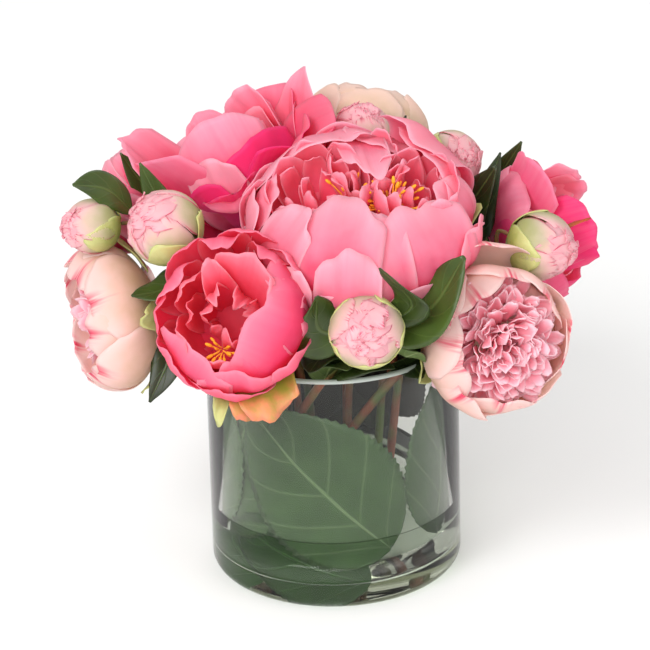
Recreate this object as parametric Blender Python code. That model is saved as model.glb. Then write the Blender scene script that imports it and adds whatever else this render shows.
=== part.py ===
"""Peonies in a clear glass cylinder vase, as separate solids at their real size.

Metres, +Z up, front towards -Y. The origin is the middle of the vase's underside.
Each flower head is an outer cup of guard petals with the inner petals seated in it. It sits on
its own stem, which stands on the vase's floor, and the leaves grow from the stems.
"""

import math
from collections import namedtuple

import bmesh
import bpy
from mathutils import Vector

MM = 0.001
TAU = 2 * math.pi

# Driving dimensions, in metres.
VASE_RADIUS = 76 * MM
VASE_HEIGHT = 152 * MM
WALL = 4 * MM
FLOOR = 14 * MM
FOOT_ROUND = 7 * MM
WELL_ROUND = 3 * MM
WATER_LEVEL = 43 * MM
WATER_INSET = 2.9 * MM  # leaves that line the wall fit in this gap
SEAT_GAP = 0.3 * MM  # clearance between pieces that touch
PETAL_THICKNESS = 1.6 * MM
LEAF_THICKNESS = 0.8 * MM
STEM_RADIUS = 3.2 * MM
STEM_TAPER = 0.8  # a stem's radius at its head, as a share of its radius at its start
BRANCH_RADIUS = 1.9 * MM

# How finely round things are cut.
VASE_SIDES = 48
WATER_SIDES = 36
SIDES_PER_LOBE = 4
BUD_SIDES = 15
ROD_ROUNDNESS = 1  # a bevel resolution: 6 sides
STEPS_BETWEEN_POINTS = 3

# Sizes and places below are in millimetres, for reading beside a ruler.
# A bloom: at = middle of the head, axis = the way it faces, radius and depth of its cup, number of
# lobes round the cup and how deep they are, and its rim's radius as a share of the belly's.
Bloom = namedtuple("Bloom", "name at axis radius depth lobes lobe_depth opening colour")
BLOOMS = (
    Bloom("coral_bloom", (19, -38, 240), (0, -0.38, 0.92), 63, 86, 7, 0.05, 0.84, "coral"),
    Bloom("ruffled_bloom", (-56, 42, 246), (-0.45, 0.1, 0.88), 47, 80, 5, 0.12, 1.05, "rose"),
    Bloom("cerise_bloom", (-57, -97, 205), (-0.12, -0.88, 0.45), 42, 74, 6, 0.06, 0.84, "cerise"),
    Bloom("blush_bloom_right", (96, -72, 173), (0.25, -0.92, 0.2), 43, 70, 5, 0.05, 0.86, "blush"),
    Bloom("blush_bloom_left", (-134, -16, 169), (-0.92, -0.3, -0.05), 43, 64, 5, 0.05, 0.86, "blush"),
    Bloom("rose_bloom_right", (129, 38, 196), (0.85, -0.1, 0.35), 37, 62, 5, 0.1, 0.95, "rose"),
    Bloom("peach_bloom_back", (24, 104, 241), (0.15, 0.5, 0.8), 38, 62, 5, 0.05, 0.86, "blush"),
    Bloom("rose_bloom_back", (-64, 112, 184), (-0.4, 0.75, 0.5), 41, 68, 6, 0.06, 0.86, "rose"),
    Bloom("blush_bloom_back", (82, 106, 178), (0.5, 0.7, 0.45), 39, 66, 5, 0.05, 0.86, "blush"),
)

# A bud or a half-open head is one closed solid of wrapped petals.
BUD_LOBE_DEPTH = 0.03
Bud = namedtuple("Bud", "name at axis radius depth lobes colour")
BUDS = (
    Bud("half_open_coral", (-114, 84, 212), (-0.6, 0.25, 0.7), 20, 42, 5, "coral"),
    Bud("half_open_rose", (-119, 27, 212), (-0.7, -0.2, 0.6), 18, 38, 5, "rose"),
    Bud("left_bud", (-95, -38, 236), (-0.6, -0.3, 0.7), 22, 42, 5, "bud"),
    Bud("far_left_bud", (-139, -14, 228), (-0.8, -0.35, 0.1), 16, 34, 5, "bud"),
    Bud("crown_bud", (21, 46, 258), (0, -0.1, 1), 18, 36, 5, "bud"),
    Bud("upper_right_bud", (74, 34, 244), (0.5, -0.6, 0.25), 18, 36, 5, "bud"),
    Bud("right_bud", (124, -26, 213), (0.75, -0.5, -0.1), 20, 40, 5, "bud"),
    Bud("front_bud", (20, -108, 198), (0, -0.9, 0.4), 21, 40, 5, "bud"),
    Bud("back_bud", (10, 130, 178), (0, 0.9, 0.35), 19, 38, 5, "bud"),
)

# A stem runs from its foot through its points and ends under its head. A branch starts inside it.
Branch = namedtuple("Branch", "head points")
Stem = namedtuple("Stem", "name head foot points branches")
STEMS = (
    Stem("coral_bloom_stem", "coral_bloom", (6, 8), ((10, 2, 100), (17, -8, 160)), ()),
    Stem("ruffled_bloom_stem", "ruffled_bloom", (-18, 20), ((-26, 20, 120), (-34, 26, 176)), ()),
    Stem("cerise_bloom_stem", "cerise_bloom", (-8, -16), ((-34, -38, 120), (-50, -52, 163)), ()),
    Stem(
        "blush_right_stem",
        "blush_bloom_right",
        (-38, -12),
        ((12, -22, 92), (52, -27, 142), (70, -30, 162)),
        (),
    ),
    Stem(
        "blush_left_stem",
        "blush_bloom_left",
        (-36, 6),
        ((-52, -3, 112), (-63, -6, 152), (-80, -5, 168)),
        (Branch("far_left_bud", ((-60, -5, 140), (-79, 4, 188), (-104, 2, 218))),),
    ),
    Stem(
        "rose_right_stem",
        "rose_bloom_right",
        (30, 15),
        ((48, 20, 120), (64, 28, 158), (84, 35, 178)),
        (
            Branch("right_bud", ((52, 22, 130), (76, 6, 174), (97, -8, 202))),
            Branch("upper_right_bud", ((55, 23, 137), (55, 38, 184), (57, 45, 224))),
        ),
    ),
    Stem(
        "peach_back_stem",
        "peach_bloom_back",
        (8, 36),
        ((10, 42, 120), (14, 60, 168)),
        (
            Branch("crown_bud", ((12, 45, 135), (8, 45, 184), (16, 46, 222))),
            Branch("back_bud", ((11, 47, 140), (8, 72, 162), (10, 96, 168))),
        ),
    ),
    Stem(
        "half_open_coral_stem",
        "half_open_coral",
        (-25, 32),
        ((-41, 35, 120), (-60, 46, 162), (-86, 66, 186)),
        (Branch("half_open_rose", ((-50, 39, 142), (-76, 36, 174), (-94, 32, 192))),),
    ),
    Stem(
        "front_bud_stem",
        "front_bud",
        (-30, -34),
        ((-25, -45, 100), (0, -57, 150), (13, -70, 172)),
        (),
    ),
    Stem(
        "left_bud_stem",
        "left_bud",
        (-48, -22),
        ((-48, -24, 120), (-58, -25, 165), (-72, -28, 198)),
        (),
    ),
    Stem(
        "rose_back_stem",
        "rose_bloom_back",
        (-10, 46),
        ((-22, 50, 116), (-30, 55, 144), (-38, 67, 158)),
        (),
    ),
    Stem(
        "blush_back_stem",
        "blush_bloom_back",
        (26, 42),
        ((38, 46, 114), (42, 49, 144), (49, 60, 160)),
        (),
    ),
)

# A leaf grows from its stem, or from the branch that carries the named bud, at a share of its
# length. It passes its middle point on the way to its tip. face is roughly where its upper
# side looks.
Leaf = namedtuple("Leaf", "name stem share middle tip width face")
LEAVES = (
    Leaf("left_top_leaf", "far_left_bud", 0.7, (-127, -3, 246), (-149, -20, 257), 17, (0, -0.6, 0.8)),
    Leaf(
        "left_dark_leaf",
        "half_open_coral_stem",
        0.75,
        (-107, 57, 217),
        (-124, 52, 247),
        14,
        (0.3, -0.9, 0.3),
    ),
    Leaf("left_upright_leaf", "left_bud_stem", 0.84, (-96, -8, 234), (-110, -6, 264), 14, (0, -1, 0.2)),
    Leaf("left_low_leaf", "blush_left_stem", 0.8, (-94, -40, 158), (-108, -60, 134), 18, (0, -0.9, 0.4)),
    Leaf("left_middle_leaf", "left_bud_stem", 0.78, (-96, -46, 198), (-116, -54, 200), 16, (0, -0.4, 0.9)),
    Leaf("centre_left_leaf", "front_bud_stem", 0.84, (-6, -90, 188), (-8, -106, 220), 22, (0.1, -1, 0.2)),
    Leaf("twisted_leaf", "front_bud_stem", 0.87, (48, -104, 211), (28, -121, 243), 16, (-0.2, -0.9, 0.4)),
    Leaf("front_right_leaf", "front_bud_stem", 0.74, (57, -92, 202), (77, -94, 237), 26, (-0.5, -0.6, 0.6)),
    Leaf("rim_right_leaf", "blush_right_stem", 0.64, (36, -82, 164), (56, -106, 184), 24, (-0.1, -0.7, 0.7)),
    Leaf("upper_right_leaf", "rose_right_stem", 0.66, (82, 0, 228), (99, -6, 256), 26, (-0.5, -0.8, 0.3)),
    Leaf("tall_right_leaf", "rose_right_stem", 0.78, (92, 16, 222), (103, 20, 254), 17, (-0.2, -1, 0.1)),
    Leaf("far_right_leaf", "rose_right_stem", 0.84, (98, 66, 206), (118, 66, 242), 16, (0.2, -0.9, 0.3)),
    Leaf("crown_leaf", "peach_back_stem", 0.86, (38, 55, 232), (48, 53, 266), 15, (0.2, -0.9, 0.3)),
    Leaf("back_left_leaf", "rose_back_stem", 0.8, (-86, 76, 142), (-126, 92, 146), 28, (0, 0.2, 1)),
    Leaf("back_middle_leaf", "peach_back_stem", 0.7, (-12, 104, 204), (-20, 146, 206), 28, (0, 0.3, 1)),
    Leaf("back_right_leaf", "blush_back_stem", 0.8, (98, 72, 140), (134, 90, 132), 28, (0, 0.2, 1)),
)
LEAF_ROWS = 8
LEAF_FOLD = 0.22  # how far each half lifts from the midrib, as a share of its width
STALK = 0.14  # the share of a leaf's length that is bare stalk
STALK_WIDTH = 0.05  # its width as a share of the blade's

# A leaf that lines the vase's wall: bearing of its middle in degrees (-90 is the front), height of
# its middle, length, width and how far its midrib leans from upright, in degrees.
WallLeaf = namedtuple("WallLeaf", "name bearing height length width lean")
WALL_LEAVES = (
    WallLeaf("front_wall_leaf", -98, 80, 124, 92, -41),
    WallLeaf("left_wall_leaf", -168, 84, 120, 74, 8),
    WallLeaf("right_wall_leaf", -28, 88, 112, 66, 6),
)
WALL_LEAF_ROWS = 9
WALL_LEAF_COLUMNS = 5

# Colour and roughness of each finish.
FINISHES = {
    "glass": ((0.93, 0.97, 0.95, 0.3), 0.03),
    "water": ((0.87, 0.95, 0.93, 0.4), 0.03),
    "coral": ((0.93, 0.33, 0.45, 1), 0.6),
    "rose": ((0.87, 0.16, 0.36, 1), 0.6),
    "cerise": ((0.83, 0.1, 0.25, 1), 0.6),
    "blush": ((0.93, 0.66, 0.6, 1), 0.6),
    "heart": ((0.9, 0.36, 0.45, 1), 0.6),
    "bud": ((0.93, 0.6, 0.6, 1), 0.6),
    "stem": ((0.25, 0.13, 0.07, 1), 0.7),
    "leaf": ((0.08, 0.2, 0.06, 1), 0.5),
}


def mm(point):
    """A point in millimetres as a vector in metres."""
    return Vector(point) * MM


def material(name):
    """The named Principled material, made once."""
    found = bpy.data.materials.get(name)
    if found:
        return found
    colour, roughness = FINISHES[name]
    made = bpy.data.materials.new(name)
    made.use_nodes = True
    shader = made.node_tree.nodes["Principled BSDF"]
    shader.inputs["Base Color"].default_value = colour
    shader.inputs["Roughness"].default_value = roughness
    shader.inputs["Metallic"].default_value = 0
    return made


def add_object(name, data):
    made = bpy.data.objects.new(name, data)
    bpy.context.scene.collection.objects.link(made)
    return made


def keep(bm, name, finish):
    """Closes off a bmesh as a smooth-shaded object of its own."""
    bmesh.ops.recalc_face_normals(bm, faces=bm.faces)
    mesh = bpy.data.meshes.new(name)
    bm.to_mesh(mesh)
    bm.free()
    mesh.shade_smooth()
    mesh.set_sharp_from_angle(angle=math.radians(40))
    mesh.materials.append(material(finish))
    return add_object(name, mesh)


def turned(name, outline, sides, finish, lobes=0, lobe_depth=0, lobed_from=1):
    """An outline of (radius, height) pairs, axis to axis, spun about Z. Its radius swells and dips
    with each lobe, fully beyond the radius lobed_from and less towards the axis."""
    bm = bmesh.new()
    chain = [bm.verts.new((radius, 0, height)) for radius, height in outline]
    edges = [bm.edges.new(ends) for ends in zip(chain, chain[1:])]
    bmesh.ops.spin(bm, geom=chain + edges, cent=(0, 0, 0), axis=(0, 0, 1), angle=TAU, steps=sides)
    bmesh.ops.remove_doubles(bm, verts=bm.verts, dist=1e-6)
    for vert in bm.verts if lobes else ():
        across = vert.co.xy
        bearing = math.atan2(across.y, across.x)
        share = min(1, across.length / lobed_from)
        vert.co.xy = across * (1 + lobe_depth * share * math.cos(lobes * bearing))
    return keep(bm, name, finish)


def arc(centre, radius, start, turn, steps):
    """Points on an arc, as (radius, height) pairs. Angles are in degrees."""
    angles = [math.radians(start + turn * i / steps) for i in range(steps + 1)]
    return [(centre[0] + radius * math.cos(a), centre[1] + radius * math.sin(a)) for a in angles]


def vase():
    lip = WALL / 2
    inside = VASE_RADIUS - WALL
    outline = [(0, 0)]
    outline += arc((VASE_RADIUS - FOOT_ROUND, FOOT_ROUND), FOOT_ROUND, -90, 90, 3)
    outline += arc((VASE_RADIUS - lip, VASE_HEIGHT - lip), lip, 0, 180, 4)
    outline += arc((inside - WELL_ROUND, FLOOR + WELL_ROUND), WELL_ROUND, 0, -90, 2)
    outline += [(0, FLOOR)]
    turned("vase", outline, VASE_SIDES, "glass")


def add_boolean(made, other, operation):
    """Joins or cuts an object with another, which is left out of the model."""
    other.hide_render = True
    other.display_type = "WIRE"
    step = made.modifiers.new(other.name, "BOOLEAN")
    step.operation = operation
    step.solver = "EXACT"
    step.object = other


def water(routes):
    """The water, with a sleeve cut out for every stem that stands in it."""
    radius = VASE_RADIUS - WALL - WATER_INSET
    low = FLOOR + SEAT_GAP
    underside = [(0, low), (radius - WELL_ROUND, low), (radius, low + WELL_ROUND)]
    surface = [(radius, WATER_LEVEL), (0, WATER_LEVEL)]
    made = turned("water", [*underside, *surface], WATER_SIDES, "water")
    past_floor = 5 * MM
    for name, route in routes.items():
        wet = [place for place in route if place.z < 2 * WATER_LEVEL]
        below = wet[0] - (wet[1] - wet[0]).normalized() * past_floor
        sleeve = rod(name + "_sleeve", [below, *wet], STEM_RADIUS + SEAT_GAP, 1)
        add_boolean(made, sleeve, "DIFFERENCE")


def smooth_route(points):
    """A Catmull-Rom curve through the points."""
    ends = [points[0] * 2 - points[1], *points, points[-1] * 2 - points[-2]]
    route = []
    for a, b, c, d in zip(ends, ends[1:], ends[2:], ends[3:]):
        for i in range(STEPS_BETWEEN_POINTS):
            t = i / STEPS_BETWEEN_POINTS
            bend = (c - a) * t + (a * 2 - b * 5 + c * 4 - d) * t**2 + (b * 3 - a - c * 3 + d) * t**3
            route.append(b + bend / 2)
    route.append(points[-1])
    return route


def rod(name, route, radius, taper=STEM_TAPER):
    """A round rod along a route, from a bevelled curve with filled caps. Its far end's radius is
    that share of its radius at the start."""
    curve = bpy.data.curves.new(name, "CURVE")
    curve.dimensions = "3D"
    curve.bevel_depth = radius
    curve.bevel_resolution = ROD_ROUNDNESS
    curve.use_fill_caps = True
    spline = curve.splines.new("POLY")
    spline.points.add(len(route) - 1)
    for i, (point, place) in enumerate(zip(spline.points, route)):
        point.co = (*place, 1)
        point.radius = 1 + (taper - 1) * i / (len(route) - 1)
    guide = add_object(name + "_guide", curve)
    mesh = bpy.data.meshes.new_from_object(guide.evaluated_get(bpy.context.evaluated_depsgraph_get()))
    bpy.data.objects.remove(guide)
    bm = bmesh.new()
    bm.from_mesh(mesh)
    bmesh.ops.remove_doubles(bm, verts=bm.verts, dist=1e-6)
    return keep(bm, name, "stem")


def head_places():
    """Name of each flower head to (place of its base, unit vector it faces along)."""
    found = {}
    for head in (*BLOOMS, *BUDS):
        axis = Vector(head.axis).normalized()
        found[head.name] = (mm(head.at) - axis * head.depth * MM / 2, axis)
    return found


def route_to(head, points, places):
    """A smooth route through the points to just under the head, which it meets along its axis."""
    base, axis = places[head]
    end = base - axis * SEAT_GAP
    straight = 9 * MM
    return smooth_route([*points, end - axis * straight, end])


def stems(places):
    """Every stem with its branches joined on. Returns the stems' routes by name, and by name of stem
    or of branch's bud what a leaf needs to grow from it: a route and its radius at the foot."""
    routes, stalks = {}, {}
    for stem in STEMS:
        foot = mm((*stem.foot, 0))
        first = mm(stem.points[0])
        leaning = (first - foot).normalized().xy.length
        foot.z = FLOOR + SEAT_GAP + STEM_RADIUS * leaning
        route = route_to(stem.head, [foot, *map(mm, stem.points)], places)
        routes[stem.name] = route
        stalks[stem.name] = (route, STEM_RADIUS)
        made = rod(stem.name, route, STEM_RADIUS)
        for branch in stem.branches:
            shoot = route_to(branch.head, list(map(mm, branch.points)), places)
            stalks[branch.head] = (shoot, BRANCH_RADIUS)
            add_boolean(made, rod(branch.head + "_shoot", shoot, BRANCH_RADIUS), "UNION")
    return routes, stalks


def stand(name, place):
    """An empty at a flower head's base, with its Z along the way the head faces."""
    base, axis = place
    made = add_object(name + "_stand", None)
    made.location = base
    made.rotation_mode = "QUATERNION"
    made.rotation_quaternion = Vector((0, 0, 1)).rotation_difference(axis)
    return made


def bloom(spec, place):
    """The guard petals as one lobed cup, and the inner petals as one crown seated in it."""
    r, d, t = spec.radius * MM, spec.depth * MM, PETAL_THICKNESS
    rim = r * spec.opening
    outer = [(0, 0), (0.45 * r, 0.03 * d), (0.86 * r, 0.24 * d), (r, 0.56 * d), (rim, 0.92 * d)]
    inner = [(rim - t, 0.915 * d), (r - t, 0.555 * d), (0.86 * r - t, 0.24 * d + 0.6 * t)]
    inner += [(0.42 * r, 0.03 * d + 1.3 * t)]
    floor = inner[-1][1]
    gap = 1.5 * SEAT_GAP
    seat = [(0, floor + gap), *[(radius - gap, height + gap) for radius, height in reversed(inner)]]
    brim, height = seat[-1]
    crown = [(0.72 * brim, height + 0.07 * d), (0.3 * brim, height + 0.02 * d), (0, height - 0.04 * d)]
    sides = SIDES_PER_LOBE * spec.lobes
    lobes = (spec.lobes, spec.lobe_depth, 0.6 * r)
    heart_finish = "heart" if spec.colour == "blush" else spec.colour
    guard = turned(spec.name + "_guard_petals", [*outer, *inner, (0, floor)], sides, spec.colour, *lobes)
    heart = turned(spec.name + "_inner_petals", [*seat, *crown], sides, heart_finish, *lobes)
    base = stand(spec.name, place)
    guard.parent = base
    heart.parent = base


def bud(spec, place):
    """A closed head: petals wrapped over each other in an egg, widest a little below its middle."""
    r, d = spec.radius * MM, spec.depth * MM
    outline = [(0, 0), (0.5 * r, 0.04 * d), (0.88 * r, 0.22 * d), (r, 0.46 * d)]
    outline += [(0.92 * r, 0.68 * d), (0.68 * r, 0.88 * d), (0.3 * r, 0.98 * d), (0, d)]
    made = turned(spec.name, outline, BUD_SIDES, spec.colour, spec.lobes, BUD_LOBE_DEPTH, r)
    made.parent = stand(spec.name, place)


def sheet(name, rows, columns, place, finish):
    """A thin sheet of leaf: a grid whose points go where place(across, along) says, made thick.
    across runs from -1 to 1 and along from 0 to 1."""
    bm = bmesh.new()
    bmesh.ops.create_grid(bm, x_segments=columns, y_segments=rows, size=1)
    for vert in bm.verts:
        vert.co = place(vert.co.x, (vert.co.y + 1) / 2)
    made = keep(bm, name, finish)
    thick = made.modifiers.new("thickness", "SOLIDIFY")
    thick.thickness = LEAF_THICKNESS
    thick.offset = 0
    return made


def blade_width(along):
    """Half width of a peony leaflet along its length, from 0 to 1: a stalk, then a lance-shaped blade."""
    if along <= STALK:
        return STALK_WIDTH
    blade = (along - STALK) / (1 - STALK)
    return max(STALK_WIDTH, math.sin(math.pi * blade**0.75) ** 0.8)


def leaf(spec, stalk):
    """A folded blade on a curved midrib. Its stalk starts just off its stem."""
    route, radius = stalk
    place = spec.share * (len(route) - 1)
    low = min(int(place), len(route) - 2)
    on_stem = route[low].lerp(route[low + 1], place - low)
    stem_runs = (route[low + 1] - route[low]).normalized()
    middle, tip = mm(spec.middle), mm(spec.tip)
    away = middle - on_stem
    away = (away - stem_runs * away.dot(stem_runs)).normalized()
    start = on_stem + away * (radius * (1 + (STEM_TAPER - 1) * spec.share) + 2.5 * SEAT_GAP)
    control = middle * 2 - (start + tip) / 2
    side = (tip - start).cross(Vector(spec.face)).normalized()
    half = spec.width * MM / 2

    def on_leaf(across, along):
        back = 1 - along
        point = start * back**2 + control * 2 * along * back + tip * along**2
        heading = ((control - start) * back + (tip - control) * along).normalized()
        beside = (side - heading * side.dot(heading)).normalized()
        width = half * blade_width(along)
        return point + (beside * across + beside.cross(heading) * LEAF_FOLD * abs(across)) * width

    sheet(spec.name, LEAF_ROWS, 2, on_leaf, "leaf")


def wall_leaf(spec):
    """A broad leaf bent round the inside of the vase's wall."""
    radius = VASE_RADIUS - WALL - LEAF_THICKNESS * 1.5
    bearing, lean = math.radians(spec.bearing), math.radians(spec.lean)

    def on_wall(across, along):
        width = spec.width * MM / 2 * max(STALK_WIDTH, math.sin(math.pi * along**0.85) ** 0.7)
        x, y = width * across, spec.length * MM * (along - 0.5)
        turn = bearing + (x * math.cos(lean) + y * math.sin(lean)) / radius
        height = spec.height * MM + y * math.cos(lean) - x * math.sin(lean)
        return radius * math.cos(turn), radius * math.sin(turn), height

    sheet(spec.name, WALL_LEAF_ROWS, WALL_LEAF_COLUMNS, on_wall, "leaf")


def main():
    for found in list(bpy.data.objects):
        bpy.data.objects.remove(found, do_unlink=True)
    places = head_places()
    vase()
    routes, stalks = stems(places)
    water(routes)
    for spec in BLOOMS:
        bloom(spec, places[spec.name])
    for spec in BUDS:
        bud(spec, places[spec.name])
    for spec in LEAVES:
        leaf(spec, stalks[spec.stem])
    for spec in WALL_LEAVES:
        wall_leaf(spec)


main()
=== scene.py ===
"""Peonies in a clear glass vase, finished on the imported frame.

Every flower head's place, the way it faces and its size are read from the CAD nodes, and so are the
leaves, the stems, the vase and the water. Petals are sheets that curve up a head's side, buds are
petals wrapped on an egg, and Geometry Nodes repeat what grows in spirals: stamens and the toothed
petals in the blush blooms' hearts.

Metres, +Z up, front towards -Y. Lengths in millimetres are written as a number times MM.
"""

import math
import random
from collections import namedtuple

import bmesh
import bpy
import numpy as np
from mathutils import Matrix, Vector


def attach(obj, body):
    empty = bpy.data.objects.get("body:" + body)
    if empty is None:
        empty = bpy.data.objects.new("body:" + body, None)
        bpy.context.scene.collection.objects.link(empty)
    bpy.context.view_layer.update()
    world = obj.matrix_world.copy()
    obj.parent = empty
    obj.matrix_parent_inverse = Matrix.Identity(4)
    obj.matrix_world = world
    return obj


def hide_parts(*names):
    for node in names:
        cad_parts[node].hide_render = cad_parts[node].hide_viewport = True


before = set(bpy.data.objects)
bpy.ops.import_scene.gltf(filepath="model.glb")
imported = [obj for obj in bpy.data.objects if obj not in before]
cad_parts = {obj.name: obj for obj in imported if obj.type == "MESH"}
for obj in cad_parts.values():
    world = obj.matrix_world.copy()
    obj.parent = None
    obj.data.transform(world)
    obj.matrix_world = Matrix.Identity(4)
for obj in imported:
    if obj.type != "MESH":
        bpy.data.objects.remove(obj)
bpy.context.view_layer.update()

MM = 0.001
TAU = 2 * math.pi
GOLDEN_ANGLE = math.pi * (3 - math.sqrt(5))
GOLDEN_DEGREES = math.degrees(GOLDEN_ANGLE)
UP = np.array((0.0, 0.0, 1.0))

BULK_DENSITY = 13.0  # of the glass's dye, in 1/m
GLOW = 0.54  # the share of light that passes through a petal
RELIEF = 0.5 * MM  # how far veins stand out
PETAL_THICKNESS = 0.45 * MM
SEPAL_THICKNESS = 0.7 * MM
LEAF_THICKNESS = 0.5 * MM
HEART_PETAL = (21 * MM, 11.5 * MM)  # length and width of the ragged petals in a blush bloom
HEART_KINDS = 6  # how many shapes they come in
STEM_VOXEL = 1.05 * MM
LEAF_TEETH = 24  # along each margin of a leaf that lines the glass
VASE_SIDES = 144
ARC_STEPS = 10


# ---------------------------------------------------------------------------------------------
# Small tools
# ---------------------------------------------------------------------------------------------


def colour(code):
    """An sRGB hex colour as linear red, green, blue and alpha."""
    channels = [int(code[i : i + 2], 16) / 255 for i in (1, 3, 5)]
    linear = [c / 12.92 if c <= 0.04045 else ((c + 0.055) / 1.055) ** 2.4 for c in channels]
    return (*linear, 1.0)


def add_node(tree, kind, inputs=(), out=0, **settings):
    """Adds a node with its settings and returns one of its outputs. inputs holds values and other
    nodes' outputs, in the sockets' own order, or by socket in a dictionary."""
    made = tree.nodes.new(kind)
    for name, value in settings.items():
        setattr(made, name, value)
    for socket, value in inputs.items() if isinstance(inputs, dict) else enumerate(inputs):
        if isinstance(value, bpy.types.NodeSocket):
            tree.links.new(value, made.inputs[socket])
        else:
            made.inputs[socket].default_value = value
    return made.outputs[out] if made.outputs else made


def new_material(name):
    """An empty material, its tree and its output node."""
    made = bpy.data.materials.new(name)
    made.use_nodes = True
    made.node_tree.nodes.clear()
    return made, made.node_tree, add_node(made.node_tree, "ShaderNodeOutputMaterial")


def smooth_step(share):
    share = np.clip(share, 0, 1)
    return share * share * (3 - 2 * share)


def unit(vector):
    return vector / np.linalg.norm(vector)


def node_points(name):
    """A CAD node's corners, each once."""
    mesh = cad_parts[name].data
    found = np.empty(len(mesh.vertices) * 3)
    mesh.vertices.foreach_get("co", found)
    return np.unique(found.reshape(-1, 3).round(6), axis=0)


def through(points, shares):
    """Places on a smooth curve through the points, at shares of its length, and its directions."""
    points = np.array(points, float)
    ends = np.vstack((2 * points[0] - points[1], points, 2 * points[-1] - points[-2]))
    steps = np.linspace(0, 1, 12, endpoint=False)[:, None]
    route = []
    for a, b, c, d in zip(ends, ends[1:], ends[2:], ends[3:]):
        bend = (c - a) * steps + (2 * a - 5 * b + 4 * c - d) * steps**2
        bend = bend + (3 * b - a - 3 * c + d) * steps**3
        route.append(b + bend / 2)
    route = np.vstack((*route, points[-1:]))
    lengths = np.linalg.norm(np.diff(route, axis=0), axis=1)
    travelled = np.concatenate(((0,), np.cumsum(lengths)))
    travelled = travelled / travelled[-1]
    heading = np.gradient(route, travelled, axis=0)
    places = np.stack([np.interp(shares, travelled, axis) for axis in route.T], axis=-1)
    headings = np.stack([np.interp(shares, travelled, axis) for axis in heading.T], axis=-1)
    return places, headings / np.linalg.norm(headings, axis=-1, keepdims=True)


def add_object(name, mesh):
    made = bpy.data.objects.new(name, mesh)
    bpy.context.scene.collection.objects.link(made)
    return made


def grids_object(name, grids, materials):
    """One object from grids of points. A grid is (points, tint, inside): an array of rows by columns
    by 3, a number that sets it apart from its neighbours and how deep in the head it grows. Its UV
    map runs across the sheet in U and from its base to its tip in V."""
    corners, faces, coordinates, tints, insides = [], [], [], [], []
    for points, tint, inside in grids:
        rows, columns = points.shape[:2]
        start = sum(len(part) for part in corners)
        index = start + np.arange(rows * columns).reshape(rows, columns)
        quads = (index[:-1, :-1], index[:-1, 1:], index[1:, 1:], index[1:, :-1])
        faces.append(np.stack(quads, axis=-1).reshape(-1, 4))
        corners.append(points.reshape(-1, 3))
        v, u = np.meshgrid(np.linspace(0, 1, rows), np.linspace(0, 1, columns), indexing="ij")
        coordinates.append(np.stack((u, v), axis=-1).reshape(-1, 2))
        tints.append(np.full(rows * columns, tint))
        insides.append(np.full(rows * columns, inside))
    corners, faces, coordinates = map(np.vstack, (corners, faces, coordinates))
    mesh = bpy.data.meshes.new(name)
    mesh.from_pydata(corners.tolist(), [], faces.tolist())
    layer = mesh.uv_layers.new(name="sheet")
    layer.data.foreach_set("uv", coordinates[faces.ravel()].astype(np.float32).ravel())
    for label, parts in (("tint", tints), ("inside", insides)):
        values = mesh.attributes.new(label, "FLOAT", "POINT")
        values.data.foreach_set("value", np.concatenate(parts).astype(np.float32))
    mesh.shade_smooth()
    for material in materials:
        mesh.materials.append(material)
    return add_object(name, mesh)


def thicken(made, thickness, two_faced=False):
    """Gives a sheet its thickness, inwards from its outer face. Two-faced sheets take their second
    material on the inner face."""
    shell = made.modifiers.new("thickness", "SOLIDIFY")
    shell.thickness = thickness
    shell.offset = -1
    shell.material_offset = 1 if two_faced else 0
    return made


def finish_piece(made, slot, *nodes):
    """Says what the piece rides on and hides the nodes it stands for. slot is not used."""
    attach(made, "root")
    if nodes:
        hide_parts(*nodes)
    return made


def baked(made):
    """A plain mesh of the object as its modifiers leave it, in place of the object."""
    name = made.name
    depsgraph = bpy.context.evaluated_depsgraph_get()
    mesh = bpy.data.meshes.new_from_object(made.evaluated_get(depsgraph))
    bpy.data.objects.remove(made)
    mesh.name = name
    return add_object(name, mesh)


# ---------------------------------------------------------------------------------------------
# Materials
# ---------------------------------------------------------------------------------------------


# A Mix node's sockets for colours, and how it is set to mix them.
FACTOR, FIRST, SECOND = 0, 6, 7
COLOURS = {"out": 2, "data_type": "RGBA"}
SMOOTH = {"interpolation_type": "SMOOTHSTEP"}


def sheet_places(tree):
    """Where a point lies across and along its sheet, its sheet's tint, and its place in space."""
    sheet = add_node(tree, "ShaderNodeUVMap", uv_map="sheet")
    u, v, _ = add_node(tree, "ShaderNodeSeparateXYZ", (sheet,)).node.outputs
    tint = add_node(tree, "ShaderNodeAttribute", out="Fac", attribute_name="tint")
    return u, v, tint, add_node(tree, "ShaderNodeTexCoord", out="Object")


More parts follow.
